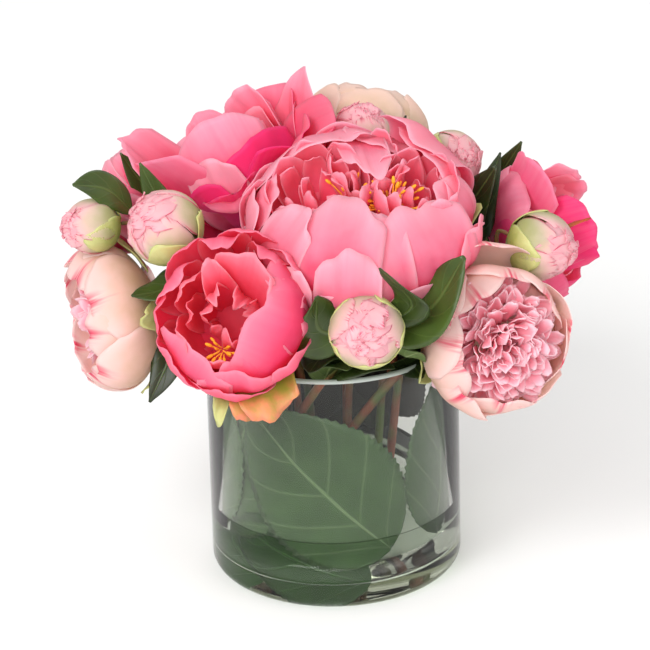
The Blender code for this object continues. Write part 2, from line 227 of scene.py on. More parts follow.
def petal_material(name, claw, blade, margin, depth, streak=None, fleck=0.6, midline=True):
    """Silk petal. Colour runs from the claw to the margin, fine veins fan along it, and light that
    enters one face glows through the other. A streak is a brush stroke of deeper pink at the tip, on
    the midline, or along the whole margin."""
    made, tree, output = new_material(name)
    u, v, tint, place = sheet_places(tree)
    inside = add_node(tree, "ShaderNodeAttribute", out="Fac", attribute_name="inside")

    # Soft blotches about 14 mm across move every gradient a little.
    blotch = add_node(tree, "ShaderNodeTexNoise", {"Vector": place, "Scale": 70.0, "Detail": 3.0})
    wander = add_node(tree, "ShaderNodeMath", (blotch, -0.5), operation="ADD")
    shifted = add_node(tree, "ShaderNodeMath", (wander, 0.6, v), operation="MULTIPLY_ADD")
    rise = add_node(tree, "ShaderNodeMapRange", (shifted, 0.3, 1.05), **SMOOTH)
    body = {FACTOR: rise, FIRST: colour(claw), SECOND: colour(blade)}
    body = add_node(tree, "ShaderNodeMix", body, **COLOURS)

    # How near the margin is: 0 on the midline, 1 on the edge, by whichever edge is nearer.
    centred = add_node(tree, "ShaderNodeMath", (u, 2.0, -1.0), operation="MULTIPLY_ADD")
    aside = add_node(tree, "ShaderNodeMath", (centred,), operation="ABSOLUTE")
    side = add_node(tree, "ShaderNodeMath", (aside, 4.0), operation="POWER")
    top = add_node(tree, "ShaderNodeMath", (v, 5.0), operation="POWER")
    edge = add_node(tree, "ShaderNodeMath", (side, top), operation="MAXIMUM")
    upper = add_node(tree, "ShaderNodeMapRange", (v, 0.3, 0.85))
    paling = add_node(tree, "ShaderNodeMath", (edge, upper), operation="MULTIPLY")
    shade = {FACTOR: paling, FIRST: body, SECOND: colour(margin)}
    shade = add_node(tree, "ShaderNodeMix", shade, **COLOURS)

    # Veins fan out with the sheet: broad soft streaks that split into lines under 1 mm apart.
    fan = add_node(tree, "ShaderNodeCombineXYZ", (u, v, tint))
    drawn = add_node(tree, "ShaderNodeVectorMath", (fan, (20.0, 2.2, 40.0)), operation="MULTIPLY")
    veins = add_node(tree, "ShaderNodeTexNoise", {"Vector": drawn, "Scale": 1.0, "Detail": 4.0})
    if streak:
        stroke = add_node(
            tree, "ShaderNodeVectorMath", (fan, (22.0, 2.2, 23.0)), operation="MULTIPLY"
        )
        brush = add_node(tree, "ShaderNodeTexNoise", {"Vector": stroke, "Scale": 1.0, "Detail": 3.0})
        faint = 0.35 if midline else 0.5
        strong = add_node(tree, "ShaderNodeMapRange", (brush, faint, 0.65), **SMOOTH)
        if midline:
            # Widest at the tip, a point 40 percent of the way down.
            reach = add_node(tree, "ShaderNodeMath", (aside, -1.1, v), operation="MULTIPLY_ADD")
            start, stop = 0.62, 0.98
        else:
            reach, start, stop = edge, 0.45, 0.9
        near_tip = add_node(tree, "ShaderNodeMapRange", (reach, start, stop), **SMOOTH)
        stroked = add_node(tree, "ShaderNodeMath", (strong, near_tip), operation="MULTIPLY")
        shade = {FACTOR: stroked, FIRST: shade, SECOND: colour(streak)}
        shade = add_node(tree, "ShaderNodeMix", shade, **COLOURS)

    # Each petal is a little lighter or deeper than its neighbours, and those inside are deeper.
    deeper = add_node(tree, "ShaderNodeMath", (tint, 0.35, inside), operation="MULTIPLY_ADD")
    lined = add_node(tree, "ShaderNodeMath", (veins, 0.4, deeper), operation="MULTIPLY_ADD")
    mixed_in = add_node(tree, "ShaderNodeMapRange", (lined, 0.25, 1.35, 0.0, fleck))
    final = {FACTOR: mixed_in, FIRST: shade, SECOND: colour(depth)}
    final = add_node(tree, "ShaderNodeMix", final, **COLOURS)
    relief = {"Height": veins, "Strength": 0.25, "Distance": RELIEF}
    satin = {
        "Base Color": final,
        "Roughness": 0.5,
        "IOR": 1.4,
        "Sheen Weight": 0.1,
        "Sheen Roughness": 0.5,
        "Normal": add_node(tree, "ShaderNodeBump", relief),
    }
    shader = add_node(tree, "ShaderNodeBsdfPrincipled", satin)
    glow = add_node(tree, "ShaderNodeBsdfTranslucent", {"Color": final})
    both = add_node(tree, "ShaderNodeMixShader", (GLOW, shader, glow))
    tree.links.new(both, output.inputs[0])
    return made


def leaf_material(name, face, shadow, vein, gloss=0.42, rib=0.09, drawing=0.55):
    """Peony leaf. A pale midrib with side veins that leave it at a slant, and a soft waxy gloss."""
    made, tree, output = new_material(name)
    u, v, tint, place = sheet_places(tree)
    blotch = add_node(tree, "ShaderNodeTexNoise", {"Vector": place, "Scale": 60.0, "Detail": 4.0})
    patch = add_node(tree, "ShaderNodeMath", (tint, 0.8, blotch), operation="MULTIPLY_ADD")
    darker = add_node(tree, "ShaderNodeMapRange", (patch, 0.4, 1.25))
    body = {FACTOR: darker, FIRST: colour(face), SECOND: colour(shadow)}
    body = add_node(tree, "ShaderNodeMix", body, **COLOURS)
    centred = add_node(tree, "ShaderNodeMath", (u, 2.0, -1.0), operation="MULTIPLY_ADD")
    aside = add_node(tree, "ShaderNodeMath", (centred,), operation="ABSOLUTE")
    midrib = add_node(tree, "ShaderNodeMapRange", (aside, 0.2 * rib, rib, 1.0, 0.0), **SMOOTH)
    # Side veins in about five pairs: bands across the blade, swept towards the tip.
    swept = add_node(tree, "ShaderNodeMath", (aside, -0.32, v), operation="MULTIPLY_ADD")
    counted = add_node(tree, "ShaderNodeMath", (swept, 9.0), operation="MULTIPLY")
    repeat = add_node(tree, "ShaderNodeMath", (counted, 1.0), operation="PINGPONG")
    side_vein = add_node(tree, "ShaderNodeMapRange", (repeat, 0.0, 0.13, 0.45, 0.0), **SMOOTH)
    drawn = add_node(tree, "ShaderNodeMath", (midrib, side_vein), operation="MAXIMUM")
    pale = add_node(tree, "ShaderNodeMath", (drawn, drawing), operation="MULTIPLY")
    final = {FACTOR: pale, FIRST: body, SECOND: colour(vein)}
    final = add_node(tree, "ShaderNodeMix", final, **COLOURS)
    grain = add_node(tree, "ShaderNodeTexNoise", {"Vector": place, "Scale": 160.0, "Detail": 2.0})
    height = add_node(tree, "ShaderNodeMath", (grain, 0.15, drawn), operation="MULTIPLY_ADD")
    relief = {"Height": height, "Strength": 0.5, "Distance": RELIEF}
    waxy = {
        "Base Color": final,
        "Roughness": gloss,
        "IOR": 1.45,
        "Subsurface Weight": 0.12,
        "Subsurface Radius": (0.5, 1.0, 0.2),
        "Subsurface Scale": 1.5 * MM,
        "Normal": add_node(tree, "ShaderNodeBump", relief),
    }
    tree.links.new(add_node(tree, "ShaderNodeBsdfPrincipled", waxy), output.inputs[0])
    return made


def sepal_material(name, base, tip, green=0.6):
    """Waxy sepal: lime where it hugs the head, flushed at its tip. green says how far up it is lime."""
    made, tree, output = new_material(name)
    u, v, tint, place = sheet_places(tree)
    blotch = add_node(tree, "ShaderNodeTexNoise", {"Vector": place, "Scale": 130.0, "Detail": 3.0})
    wander = add_node(tree, "ShaderNodeMath", (blotch, 0.7, v), operation="MULTIPLY_ADD")
    rise = add_node(tree, "ShaderNodeMapRange", (wander, green, green + 0.75), **SMOOTH)
    body = {FACTOR: rise, FIRST: colour(base), SECOND: colour(tip)}
    body = add_node(tree, "ShaderNodeMix", body, **COLOURS)
    fan = add_node(tree, "ShaderNodeCombineXYZ", (u, v, tint))
    drawn = add_node(tree, "ShaderNodeVectorMath", (fan, (30.0, 2.0, 9.0)), operation="MULTIPLY")
    veins = add_node(tree, "ShaderNodeTexNoise", {"Vector": drawn, "Scale": 1.0, "Detail": 2.0})
    relief = {"Height": veins, "Strength": 0.3, "Distance": RELIEF}
    waxy = {
        "Base Color": body,
        "Roughness": 0.45,
        "IOR": 1.45,
        "Subsurface Weight": 0.2,
        "Subsurface Radius": (0.8, 1.0, 0.3),
        "Subsurface Scale": 1.5 * MM,
        "Normal": add_node(tree, "ShaderNodeBump", relief),
    }
    tree.links.new(add_node(tree, "ShaderNodeBsdfPrincipled", waxy), output.inputs[0])
    return made


def bark_material():
    """Young bark: reddish brown, ridged lengthwise, turning green in patches."""
    made, tree, output = new_material("stem_bark")
    place = add_node(tree, "ShaderNodeTexCoord", out="Object")
    drawn = add_node(tree, "ShaderNodeVectorMath", (place, (1.0, 1.0, 0.12)), operation="MULTIPLY")
    ridges = add_node(tree, "ShaderNodeTexNoise", {"Vector": drawn, "Scale": 700.0, "Detail": 4.0})
    patches = add_node(tree, "ShaderNodeTexNoise", {"Vector": place, "Scale": 28.0, "Detail": 2.0})
    greening = add_node(tree, "ShaderNodeMapRange", (patches, 0.48, 0.62))
    base = {FACTOR: ridges, FIRST: colour("#6E3520"), SECOND: colour("#A35C3C")}
    base = add_node(tree, "ShaderNodeMix", base, **COLOURS)
    final = {FACTOR: greening, FIRST: base, SECOND: colour("#5F6E34")}
    relief = {"Height": ridges, "Strength": 0.5, "Distance": 0.4 * MM}
    rough = {
        "Base Color": add_node(tree, "ShaderNodeMix", final, **COLOURS),
        "Roughness": 0.6,
        "Normal": add_node(tree, "ShaderNodeBump", relief),
    }
    tree.links.new(add_node(tree, "ShaderNodeBsdfPrincipled", rough), output.inputs[0])
    return made


def pollen_material(name, code, dark):
    """Dusty, matt stamen: warm yellow with darker specks."""
    made, tree, output = new_material(name)
    place = add_node(tree, "ShaderNodeTexCoord", out="Object")
    specks = add_node(tree, "ShaderNodeTexNoise", {"Vector": place, "Scale": 1200.0, "Detail": 2.0})
    final = {FACTOR: specks, FIRST: colour(code), SECOND: colour(dark)}
    dusty = {"Base Color": add_node(tree, "ShaderNodeMix", final, **COLOURS), "Roughness": 0.7}
    tree.links.new(add_node(tree, "ShaderNodeBsdfPrincipled", dusty), output.inputs[0])
    return made


def clear_material(name, ior, tint, shadow, rough=0.0, clear=1.0, bulk=None):
    """Clear and polished, its reflections a little dimmed. Lamps shine through it, tinted a little,
    so that what is behind is lit. bulk is the colour that a long way through it takes on."""
    made, tree, output = new_material(name)
    polished = {
        "Base Color": colour(tint),
        "Roughness": rough,
        "IOR": ior,
        "Transmission Weight": clear,
        "Specular Tint": colour("#B4B4B4"),
    }
    shader = add_node(tree, "ShaderNodeBsdfPrincipled", polished)
    passing = add_node(tree, "ShaderNodeBsdfTransparent", {"Color": colour(shadow)})
    ray = add_node(tree, "ShaderNodeLightPath", out="Is Shadow Ray")
    both = add_node(tree, "ShaderNodeMixShader", (ray, shader, passing))
    tree.links.new(both, output.inputs[0])
    if bulk:
        dye = {"Color": colour(bulk), "Density": BULK_DENSITY}
        tree.links.new(add_node(tree, "ShaderNodeVolumeAbsorption", dye), output.inputs[1])
    return made


CORAL_OUT = petal_material("silk_coral_outer", "#F2447A", "#FF9CBC", "#FFD0DE", "#FF6C98")
CORAL_IN = petal_material("silk_coral_inner", "#FF6C90", "#FF96B0", "#FFC4D4", "#FF7294")
CERISE_OUT = petal_material("silk_cerise_outer", "#EA2064", "#FF5090", "#FFB0C8", "#F8206C")
CERISE_IN = petal_material("silk_cerise_inner", "#F84A70", "#FF86A4", "#FFB4C4", "#FA4468")
ROSE_OUT = petal_material("silk_rose_outer", "#E8246E", "#FFACC8", "#FFD0E0", "#F8308C", None, 0.95)
ROSE_IN = petal_material("silk_rose_inner", "#F43A74", "#FF92AE", "#FFC8D8", "#F84880")
BLUSH_OUT = petal_material(
    "silk_blush_outer", "#DCC8A0", "#FFE6E0", "#FFECE8", "#FCD8D0", "#F04C78", 0.3
)
BLUSH_IN = petal_material(
    "silk_blush_inner", "#FFDCD4", "#FFE6E2", "#FFECEA", "#FDD0D2", "#F04C78", 0.3
)
PEACH = petal_material("silk_peach", "#DCCB9A", "#FFEADE", "#FFEEE4", "#FCDCCA", None, 0.35)
HEART = petal_material("silk_heart", "#FFB2C2", "#FFCCD8", "#FFE8EE", "#FFA2B6", None, 0.4)
BUD_FACE = petal_material(
    "silk_bud_face", "#FACCD4", "#FFE8E8", "#FDCCD6", "#FBB6C4", "#E87090", 0.5, midline=False
)
BUD_SIDE = petal_material(
    "silk_bud_side", "#CBD08E", "#FDEAE4", "#FDD6DA", "#FBCCD0", "#E87890", 0.35, midline=False
)
LEAF_TOP = leaf_material("leaf_upper", "#42561E", "#202A10", "#66793E", drawing=0.4)
LEAF_UNDER = leaf_material("leaf_under", "#63783E", "#42542A", "#98A870", 0.5)
WALL_LEAF = leaf_material("wall_leaf_face", "#3E5630", "#2A4020", "#7C8E68", 0.5, 0.035, 0.4)
WET_LEAF = leaf_material("wet_leaf", "#1A3C08", "#122A06", "#34581E", 0.4, 0.035, 0.4)
# Painted shade: near-black green and brown for the leaves stuffed behind the stems, where the back of the
# vase lies in shade.
PAINTED_SHADE_LEAF = leaf_material("painted_shade_leaf", "#26301C", "#261B18", "#3C4428", 0.6, 0.035, 0.4)
SEPAL = sepal_material("sepal_lime", "#8F9A48", "#BDBE7C")
SEPAL_FLUSHED = sepal_material("sepal_flushed", "#8E9A34", "#F07C6C", 0.88)
SEPAL_RUST = sepal_material("sepal_rust", "#6E7A30", "#B04A22")
BARK = bark_material()
FILAMENT = pollen_material("stamen_filament", "#F9C948", "#F0A030")
ANTHER = pollen_material("stamen_anther", "#FBC02A", "#E08A18")
GLASS = clear_material("soda_lime_glass", 1.5, "#FDFEFD", "#F4F8F5", bulk="#9EA962")
# Painted highlight: the lip is glass, but paler and only partly clear, so that it shows as a light line
# round the rim.
LIP = clear_material("lip_painted_highlight", 1.5, "#D6DED8", "#F4F8F5", 0.35, 0.35)
WATER = clear_material("still_water", 1.33, "#FEFFFE", "#FBFEFC")


# ---------------------------------------------------------------------------------------------
# Flower heads
# ---------------------------------------------------------------------------------------------

Head = namedtuple("Head", "base turn radius depth")


def head_of(node, stem):
    """A flower head read from its CAD node. It sits on its stem at base, and turn's columns are its
    right and up, as seen by someone who looks it in the face, and the way it faces."""
    points, carrier = node_points(node), node_points(stem)
    gaps = np.linalg.norm(points[:, None] - carrier[None], axis=2).min(axis=1)
    base = points[gaps.argmin()]
    axis = unit(points.mean(axis=0) - base)
    up = unit(UP - axis * (UP @ axis))
    right = np.cross(up, axis)
    offsets = points - base
    heights = offsets @ axis
    radius = np.linalg.norm(offsets - heights[:, None] * axis, axis=1).max()
    return Head(base, np.stack((right, up, axis), axis=1), radius, heights.max())


def tilted(head, right, up, forward, lean_right, lean_up, radius, depth):
    """A smaller head inside a head: moved by shares of its radius and depth, and leaned."""
    shift = (right * head.radius, up * head.radius, forward * head.depth)
    lean = Matrix.Rotation(math.radians(lean_right), 3, "Y") @ Matrix.Rotation(
        math.radians(-lean_up), 3, "X"
    )
    turn = head.turn @ np.array(lean)
    return Head(head.base + head.turn @ shift, turn, radius * head.radius, depth * head.depth)


# A petal: turn is where it stands round its head in degrees (0 right, 90 up), path is its midline
# from claw to tip as (radius, height) in shares of the head's radius and depth, width is a share of
# the radius, and cup is the radius it curls across to. The rest shapes its outline and margin.
Petal = namedtuple(
    "Petal",
    "turn path width cup dome claw flare wave waves notch cleft tilt slant inside",
    defaults=(0.9, 0.5, 0.35, 0.0, 0.02, 3, 0.0, 0.0, 0.05, 0.0, 0.0),
)


def petal(spec, head, rng, rows, columns):
    """The grid of one petal in its head."""
    radius, depth = head.radius, head.depth
    along = np.linspace(0, 1, rows)[:, None]
    across = np.linspace(-1, 1, columns)[None, :]
    # The outline: domed, with a cleft in the middle and three notches at chance.
    reach = along * np.sqrt(1 - spec.dome * across**2)
    side = across * np.sqrt(1 - spec.dome * along**2)
    reach = reach * (1 - spec.cleft * along**3 * np.exp(-((across / 0.16) ** 2)))
    for _ in range(3):
        where, size = rng.uniform(-0.8, 0.8), rng.uniform(0.3, 1) * spec.notch
        dip = np.exp(-(((across - where) / rng.uniform(0.1, 0.35)) ** 2))
        reach = reach * (1 - size * along**4 * dip)
    ripple = rng.uniform(0, TAU)
    reach = reach * (1 + 0.2 * spec.notch * along**6 * np.sin(9 * across + ripple))
    claw = spec.claw + (1 - spec.claw) * smooth_step(reach / 0.6)
    sideways = side * claw * spec.width * radius / 2
    sideways = sideways * (1 + 0.3 * spec.notch * np.abs(across) ** 6 * np.sin(11 * along + ripple))

    # How far each point lifts off its path: the margin flares and waves, the blade swells.
    path = np.array(spec.path) * (radius, depth)
    places, headings = through(path, np.clip(reach, 0, 1))
    curl = spec.cup * radius
    edge = np.maximum(np.abs(across) ** 3, along**4)
    round_margin = np.arctan2(side, reach - 0.3)
    phase = rng.uniform(0, TAU)
    lift = spec.flare * radius * edge**2
    lift = lift + spec.wave * radius * edge * np.sin(spec.waves * round_margin + phase)
    lift = lift + 0.35 * spec.wave * radius * edge * np.sin(2.7 * spec.waves * round_margin - phase)
    swell = np.sin(2.3 * across + 1.7 * along + rng.uniform(0, TAU))
    crease = np.sin(5.5 * across + 0.8 * along + rng.uniform(0, TAU))
    lift = lift + 0.02 * radius * along * (swell + np.sin(3.1 * along - 1.9 * across + phase))
    pucker = np.sin(10 * across + 1.5 * along + phase)
    lift = lift + 0.013 * radius * along * crease + 0.005 * radius * along**2 * pucker
    lift = lift + spec.tilt * sideways - curl * (1 - np.cos(sideways / curl))
    out = places[..., 0] + headings[..., 1] * lift
    height = places[..., 1] - headings[..., 0] * lift
    lateral = curl * np.sin(sideways / curl) + spec.slant * radius * reach**2

    turn = math.radians(spec.turn)
    local = np.stack(
        (
            out * math.cos(turn) - lateral * math.sin(turn),
            out * math.sin(turn) + lateral * math.cos(turn),
            height,
        ),
        axis=-1,
    )
    return local @ head.turn.T + head.base, rng.random(), spec.inside


def ring(rng, count, first, path, jitter, **shape):
    """Petals set evenly round a head, no two quite alike."""
    made = []
    for i in range(count):
        turn = first + 360 / count * i + rng.uniform(-70, 70) * jitter
        tall = rng.uniform(1 - jitter, 1 + jitter)
        wide = rng.uniform(1 - jitter, 1 + jitter)
        own = [(out * wide, height * tall) for out, height in path]
        made.append(Petal(turn, own, **shape))
    return made


def globe(turn, reach, size, width, **shape):
    """A petal that hugs the head like a globe's skin. reach is how far round it comes, in degrees
    from the stem."""
    path = []
    for angle in np.radians(np.linspace(12, reach, 6)):
        path.append((size * math.sin(angle), 0.5 - 0.5 * size * math.cos(angle)))
    return Petal(turn, path, width, **{"cup": 0.95 * size, **shape})


def lax(turn, out, up, width, **shape):
    """A petal that rises from the cup and falls open: its tip is out and up from the base, as shares
    of the head's radius and depth."""
    path = [(0.08, 0.0), (0.42, 0.05), (0.66, 0.3), (0.35 + 0.5 * out, 0.22 + 0.5 * up), (out, up)]
    return Petal(turn, path, width, **{"cup": 0.75, "claw": 0.45, **shape})


def bottom(head, out, up, rise):
    """A shallow dome that closes a head over its stem."""
    x, y = np.meshgrid(np.linspace(-1, 1, 11), np.linspace(-1, 1, 11))
    x, y = x * np.sqrt(1 - y**2 / 2), y * np.sqrt(1 - x**2 / 2)
    height = (up + rise * (1 - x**2 - y**2)) * head.depth
    local = np.stack((x * out * head.radius, y * out * head.radius, height), axis=-1)
    return local @ head.turn.T + head.base, 0.5, 0.6


def petals_object(name, grids, outer, inner):
    return thicken(grids_object(name, grids, (outer, inner)), PETAL_THICKNESS, True)


def grown(name, petals, head, rng, finish, slot, node, rows, columns, extra=()):
    """A finished piece made of petals of one head, which stands for a node of the head."""
    grids = [petal(spec, head, rng, rows, columns) for spec in petals] + list(extra)
    return finish_piece(petals_object(name, grids, *finish), slot, node)


# ---------------------------------------------------------------------------------------------
# Repeated by Geometry Nodes: stamens and toothed petals in spirals
# ---------------------------------------------------------------------------------------------


def new_tree(name, sockets):
    """A geometry tree with named inputs. sockets holds (name, kind, value)."""
    tree = bpy.data.node_groups.new(name, "GeometryNodeTree")
    tree.interface.new_socket("Geometry", in_out="INPUT", socket_type="NodeSocketGeometry")
    tree.interface.new_socket("Geometry", in_out="OUTPUT", socket_type="NodeSocketGeometry")
    for label, kind, value in sockets:
        socket = tree.interface.new_socket(label, in_out="INPUT", socket_type="NodeSocket" + kind)
        if value is not None:
            socket.default_value = value
    return tree, add_node(tree, "NodeGroupInput").node.outputs


def spiral_points(tree, inputs):
    """Nodes for points in a sunflower's spiral on a shallow dome. Returns the points, each one's
    bearing and its share of the way out."""
    index = add_node(tree, "GeometryNodeInputIndex")
    bearing = add_node(tree, "ShaderNodeMath", (index, GOLDEN_ANGLE), operation="MULTIPLY")
    middle = add_node(tree, "ShaderNodeMath", (index, 0.5), operation="ADD")
    part = add_node(tree, "ShaderNodeMath", (middle, inputs["Count"]), operation="DIVIDE")
    share = add_node(tree, "ShaderNodeMath", (part,), operation="SQRT")
    out = add_node(tree, "ShaderNodeMath", (share, inputs["Spread"]), operation="MULTIPLY")
    east = add_node(tree, "ShaderNodeMath", (bearing,), operation="COSINE")
    north = add_node(tree, "ShaderNodeMath", (bearing,), operation="SINE")
    x = add_node(tree, "ShaderNodeMath", (east, out), operation="MULTIPLY")
    y = add_node(tree, "ShaderNodeMath", (north, out), operation="MULTIPLY")
    fall = add_node(tree, "ShaderNodeMath", (part, inputs["Dome"]), operation="MULTIPLY")
    z = add_node(tree, "ShaderNodeMath", (inputs["Dome"], fall), operation="SUBTRACT")
    place = add_node(tree, "ShaderNodeCombineXYZ", (x, y, z))
    return add_node(tree, "GeometryNodePoints", (inputs["Count"], place)), bearing, share


def leaning(tree, inputs, bearing, share):
    """Nodes for how an instance turns: leaned outwards more the further out it stands, about its
    bearing, with a little chance in both."""
    chance = {0: (-1, -1, -1), 1: (1, 1, 1), "Seed": inputs["Seed"]}
    chance = add_node(tree, "FunctionNodeRandomValue", chance, data_type="FLOAT_VECTOR")
    chance = {0: chance, "Scale": inputs["Loose"]}
    chance = add_node(tree, "ShaderNodeVectorMath", chance, operation="SCALE")
    outwards = add_node(tree, "ShaderNodeMath", (share, inputs["Lean"]), operation="MULTIPLY")
    steady = add_node(tree, "ShaderNodeCombineXYZ", (0.0, outwards, bearing))
    loose = add_node(tree, "ShaderNodeVectorMath", (steady, chance), operation="ADD")
    return add_node(tree, "FunctionNodeEulerToRotation", (loose,))


def stamen_tree():
    """Threads with a pod of pollen at the end of each, in a spiral tuft."""
    sockets = [
        ("Count", "Int", 20),
        ("Spread", "Float", 5 * MM),
        ("Dome", "Float", 1 * MM),
        ("Lean", "Float", 0.7),
        ("Loose", "Float", 0.3),
        ("Length", "Float", 14 * MM),
        ("Thread", "Float", 0.5 * MM),
        ("Pod", "Float", 1.1 * MM),
        ("Seed", "Int", 1),
        ("Filament", "Material", None),
        ("Anther", "Material", None),
    ]
    tree, inputs = new_tree("stamen_tuft", sockets)
    points, bearing, share = spiral_points(tree, inputs)
    half = add_node(tree, "ShaderNodeMath", (inputs["Length"], 0.55), operation="MULTIPLY")
    aside = add_node(tree, "ShaderNodeMath", (inputs["Length"], 0.22), operation="MULTIPLY")
    knee = add_node(tree, "ShaderNodeCombineXYZ", {2: half})
    end = add_node(tree, "ShaderNodeCombineXYZ", {0: aside, 2: inputs["Length"]})
    bow = {"Resolution": 6, "Start": (0, 0, 0), "Middle": knee, "End": end}
    line = add_node(tree, "GeometryNodeCurveQuadraticBezier", bow)
    section = {"Resolution": 5, "Radius": inputs["Thread"]}
    section = add_node(tree, "GeometryNodeCurvePrimitiveCircle", section)
    thread = {"Curve": line, "Profile Curve": section, "Fill Caps": True}
    thread = add_node(tree, "GeometryNodeCurveToMesh", thread)
    ball = {"Segments": 7, "Rings": 6, "Radius": inputs["Pod"]}
    ball = add_node(tree, "GeometryNodeMeshUVSphere", ball)
    pod = {"Geometry": ball, "Translation": end, "Rotation": (0, 0.5, 0), "Scale": (0.8, 1, 2.3)}
    pod = add_node(tree, "GeometryNodeTransform", pod)
    mark = {"Geometry": pod, "Name": "pollen", "Value": 1.0}
    marked = add_node(
        tree, "GeometryNodeStoreNamedAttribute", mark, data_type="FLOAT", domain="FACE"
    )
    stamen = add_node(tree, "GeometryNodeJoinGeometry")
    for part in (thread, marked):
        tree.links.new(part, stamen.node.inputs[0])
    size = {2: 0.7, 3: 1.15, "Seed": inputs["Seed"]}
    tuft = {
        "Points": points,
        "Instance": stamen,
        "Rotation": leaning(tree, inputs, bearing, share),
        "Scale": add_node(tree, "FunctionNodeRandomValue", size, 1, data_type="FLOAT"),
    }
    tuft = add_node(tree, "GeometryNodeInstanceOnPoints", tuft)
    tuft = add_node(tree, "GeometryNodeRealizeInstances", (tuft,))
    threads = {"Geometry": tuft, "Material": inputs["Filament"]}
    threads = add_node(tree, "GeometryNodeSetMaterial", threads)
    dusted = {"Name": "pollen"}
    dusted = add_node(tree, "GeometryNodeInputNamedAttribute", dusted, data_type="FLOAT")
    pods = {"Geometry": threads, "Selection": dusted, "Material": inputs["Anther"]}
    add_node(tree, "NodeGroupOutput", (add_node(tree, "GeometryNodeSetMaterial", pods),))
    return tree


def spiral_petal_tree():
    """Copies of a few small petals in a spiral, upright in the middle and leaning out at the rim."""
    sockets = [
        ("Count", "Int", 60),
        ("Spread", "Float", 10 * MM),
        ("Dome", "Float", 3 * MM),
        ("Lean", "Float", 1.0),
        ("Loose", "Float", 0.4),
        ("Kinds", "Int", 3),
        ("Inner size", "Float", 0.7),
        ("Outer size", "Float", 1.0),
        ("Seed", "Int", 1),
        ("Petal", "Material", None),
    ]
    tree, inputs = new_tree("petal_spiral", sockets)
    points, bearing, share = spiral_points(tree, inputs)
    kind = add_node(tree, "GeometryNodeInputNamedAttribute", {"Name": "kind"}, data_type="INT")
    kinds = {"Geometry": inputs["Geometry"], "Group ID": kind}
    kinds = add_node(tree, "GeometryNodeSplitToInstances", kinds)
    pick = {4: 0, 5: inputs["Kinds"], "Seed": inputs["Seed"]}
    grown = {"Value": share, "To Min": inputs["Inner size"], "To Max": inputs["Outer size"]}
    grown = add_node(tree, "ShaderNodeMapRange", grown)
    chance = {2: 0.8, 3: 1.15, "Seed": inputs["Seed"]}
    chance = add_node(tree, "FunctionNodeRandomValue", chance, 1, data_type="FLOAT")
    heart = {
        "Points": points,
        "Instance": kinds,
        "Pick Instance": True,
        "Instance Index": add_node(tree, "FunctionNodeRandomValue", pick, 2, data_type="INT"),
        "Rotation": leaning(tree, inputs, bearing, share),
        "Scale": add_node(tree, "ShaderNodeMath", (grown, chance), operation="MULTIPLY"),
    }
    heart = add_node(tree, "GeometryNodeInstanceOnPoints", heart)
    hue = {2: 0.0, 3: 1.0, "Seed": 7}
    hue = add_node(tree, "FunctionNodeRandomValue", hue, 1, data_type="FLOAT")
    tinted = {"Geometry": heart, "Name": "tint", "Value": hue}
    tinted = add_node(
        tree, "GeometryNodeStoreNamedAttribute", tinted, data_type="FLOAT", domain="INSTANCE"
    )
    real = add_node(tree, "GeometryNodeRealizeInstances", (tinted,))
    painted = {"Geometry": real, "Material": inputs["Petal"]}
    add_node(tree, "NodeGroupOutput", (add_node(tree, "GeometryNodeSetMaterial", painted),))
    return tree


STAMEN_TREE = stamen_tree()
SPIRAL_TREE = spiral_petal_tree()


def grown_by(tree, start, head, values):
    """Runs a geometry tree on the object with these inputs, and sets what grows on the head."""
    growth = start.modifiers.new("growth", "NODES")
    growth.node_group = tree
    sockets = {item.name: item.identifier for item in tree.interface.items_tree}
    for name, value in values.items():
        growth[sockets[name]] = value
    made = baked(start)
    place = Matrix.Translation(head.base) @ Matrix(head.turn.tolist()).to_4x4()
    made.data.transform(place)
    made.data.shade_smooth()
    return made


def stamens(name, head, values):
    """A tuft of stamens at a head's base."""
    start = add_object(name, bpy.data.meshes.new(name))
    values = {"Filament": FILAMENT, "Anther": ANTHER, **values}
    return finish_piece(grown_by(STAMEN_TREE, start, head, values), "heart_petal")


def toothed_petals(rng):
    """A few narrow petals, each with a ragged tip and a fold along its middle, standing at the
    origin and bowing towards +X."""
    length, width = HEART_PETAL
    rows, columns = 8, 7
    grids = []
    for _ in range(HEART_KINDS):
        along = np.linspace(0, 1, rows)[:, None] + np.zeros((1, columns))
        across = np.linspace(-1, 1, columns)[None, :] + np.zeros((rows, 1))
        teeth = 0.05 * np.abs(np.sin(across * rng.uniform(3, 5) + rng.uniform(0, 3)))
        reach = along * (1 - rng.uniform(0.2, 0.45) * across**2 - teeth * along**4)
        half = width / 2 * (0.3 + 0.7 * smooth_step(along / 0.75)) * rng.uniform(0.6, 1.25)
        y = half * across
        fold = rng.uniform(0.1, 0.7) * half * across**2
        bow = rng.uniform(-0.1, 0.2) * length
        x = bow * reach**2 - fold + 0.04 * length * np.sin(6 * reach + rng.uniform(0, 6)) * along
        x = x + 0.25 * half * np.sin(4 * across + rng.uniform(0, 6)) * along**2
        z = length * reach * rng.uniform(0.8, 1.1)
        grids.append((np.stack((x, y, z), axis=-1), 0.0, 0.2))
    return grids


def spiral_heart(name, head, seed, values):
    """The heart of a blush bloom: many toothed petals packed in a spiral."""
    grids = toothed_petals(random.Random(seed))
    start = grids_object(name, grids, (HEART,))
    kind = start.data.attributes.new("kind", "INT", "POINT")
    per_grid = len(start.data.vertices) // len(grids)
    kind.data.foreach_set("value", np.arange(len(start.data.vertices)) // per_grid)
    thicken(start, PETAL_THICKNESS)
    values = {"Kinds": len(grids) - 1, "Seed": seed, "Petal": HEART, **values}
    return grown_by(SPIRAL_TREE, start, head, values)


# ---------------------------------------------------------------------------------------------
# Buds, and the sepals under every head
# ---------------------------------------------------------------------------------------------

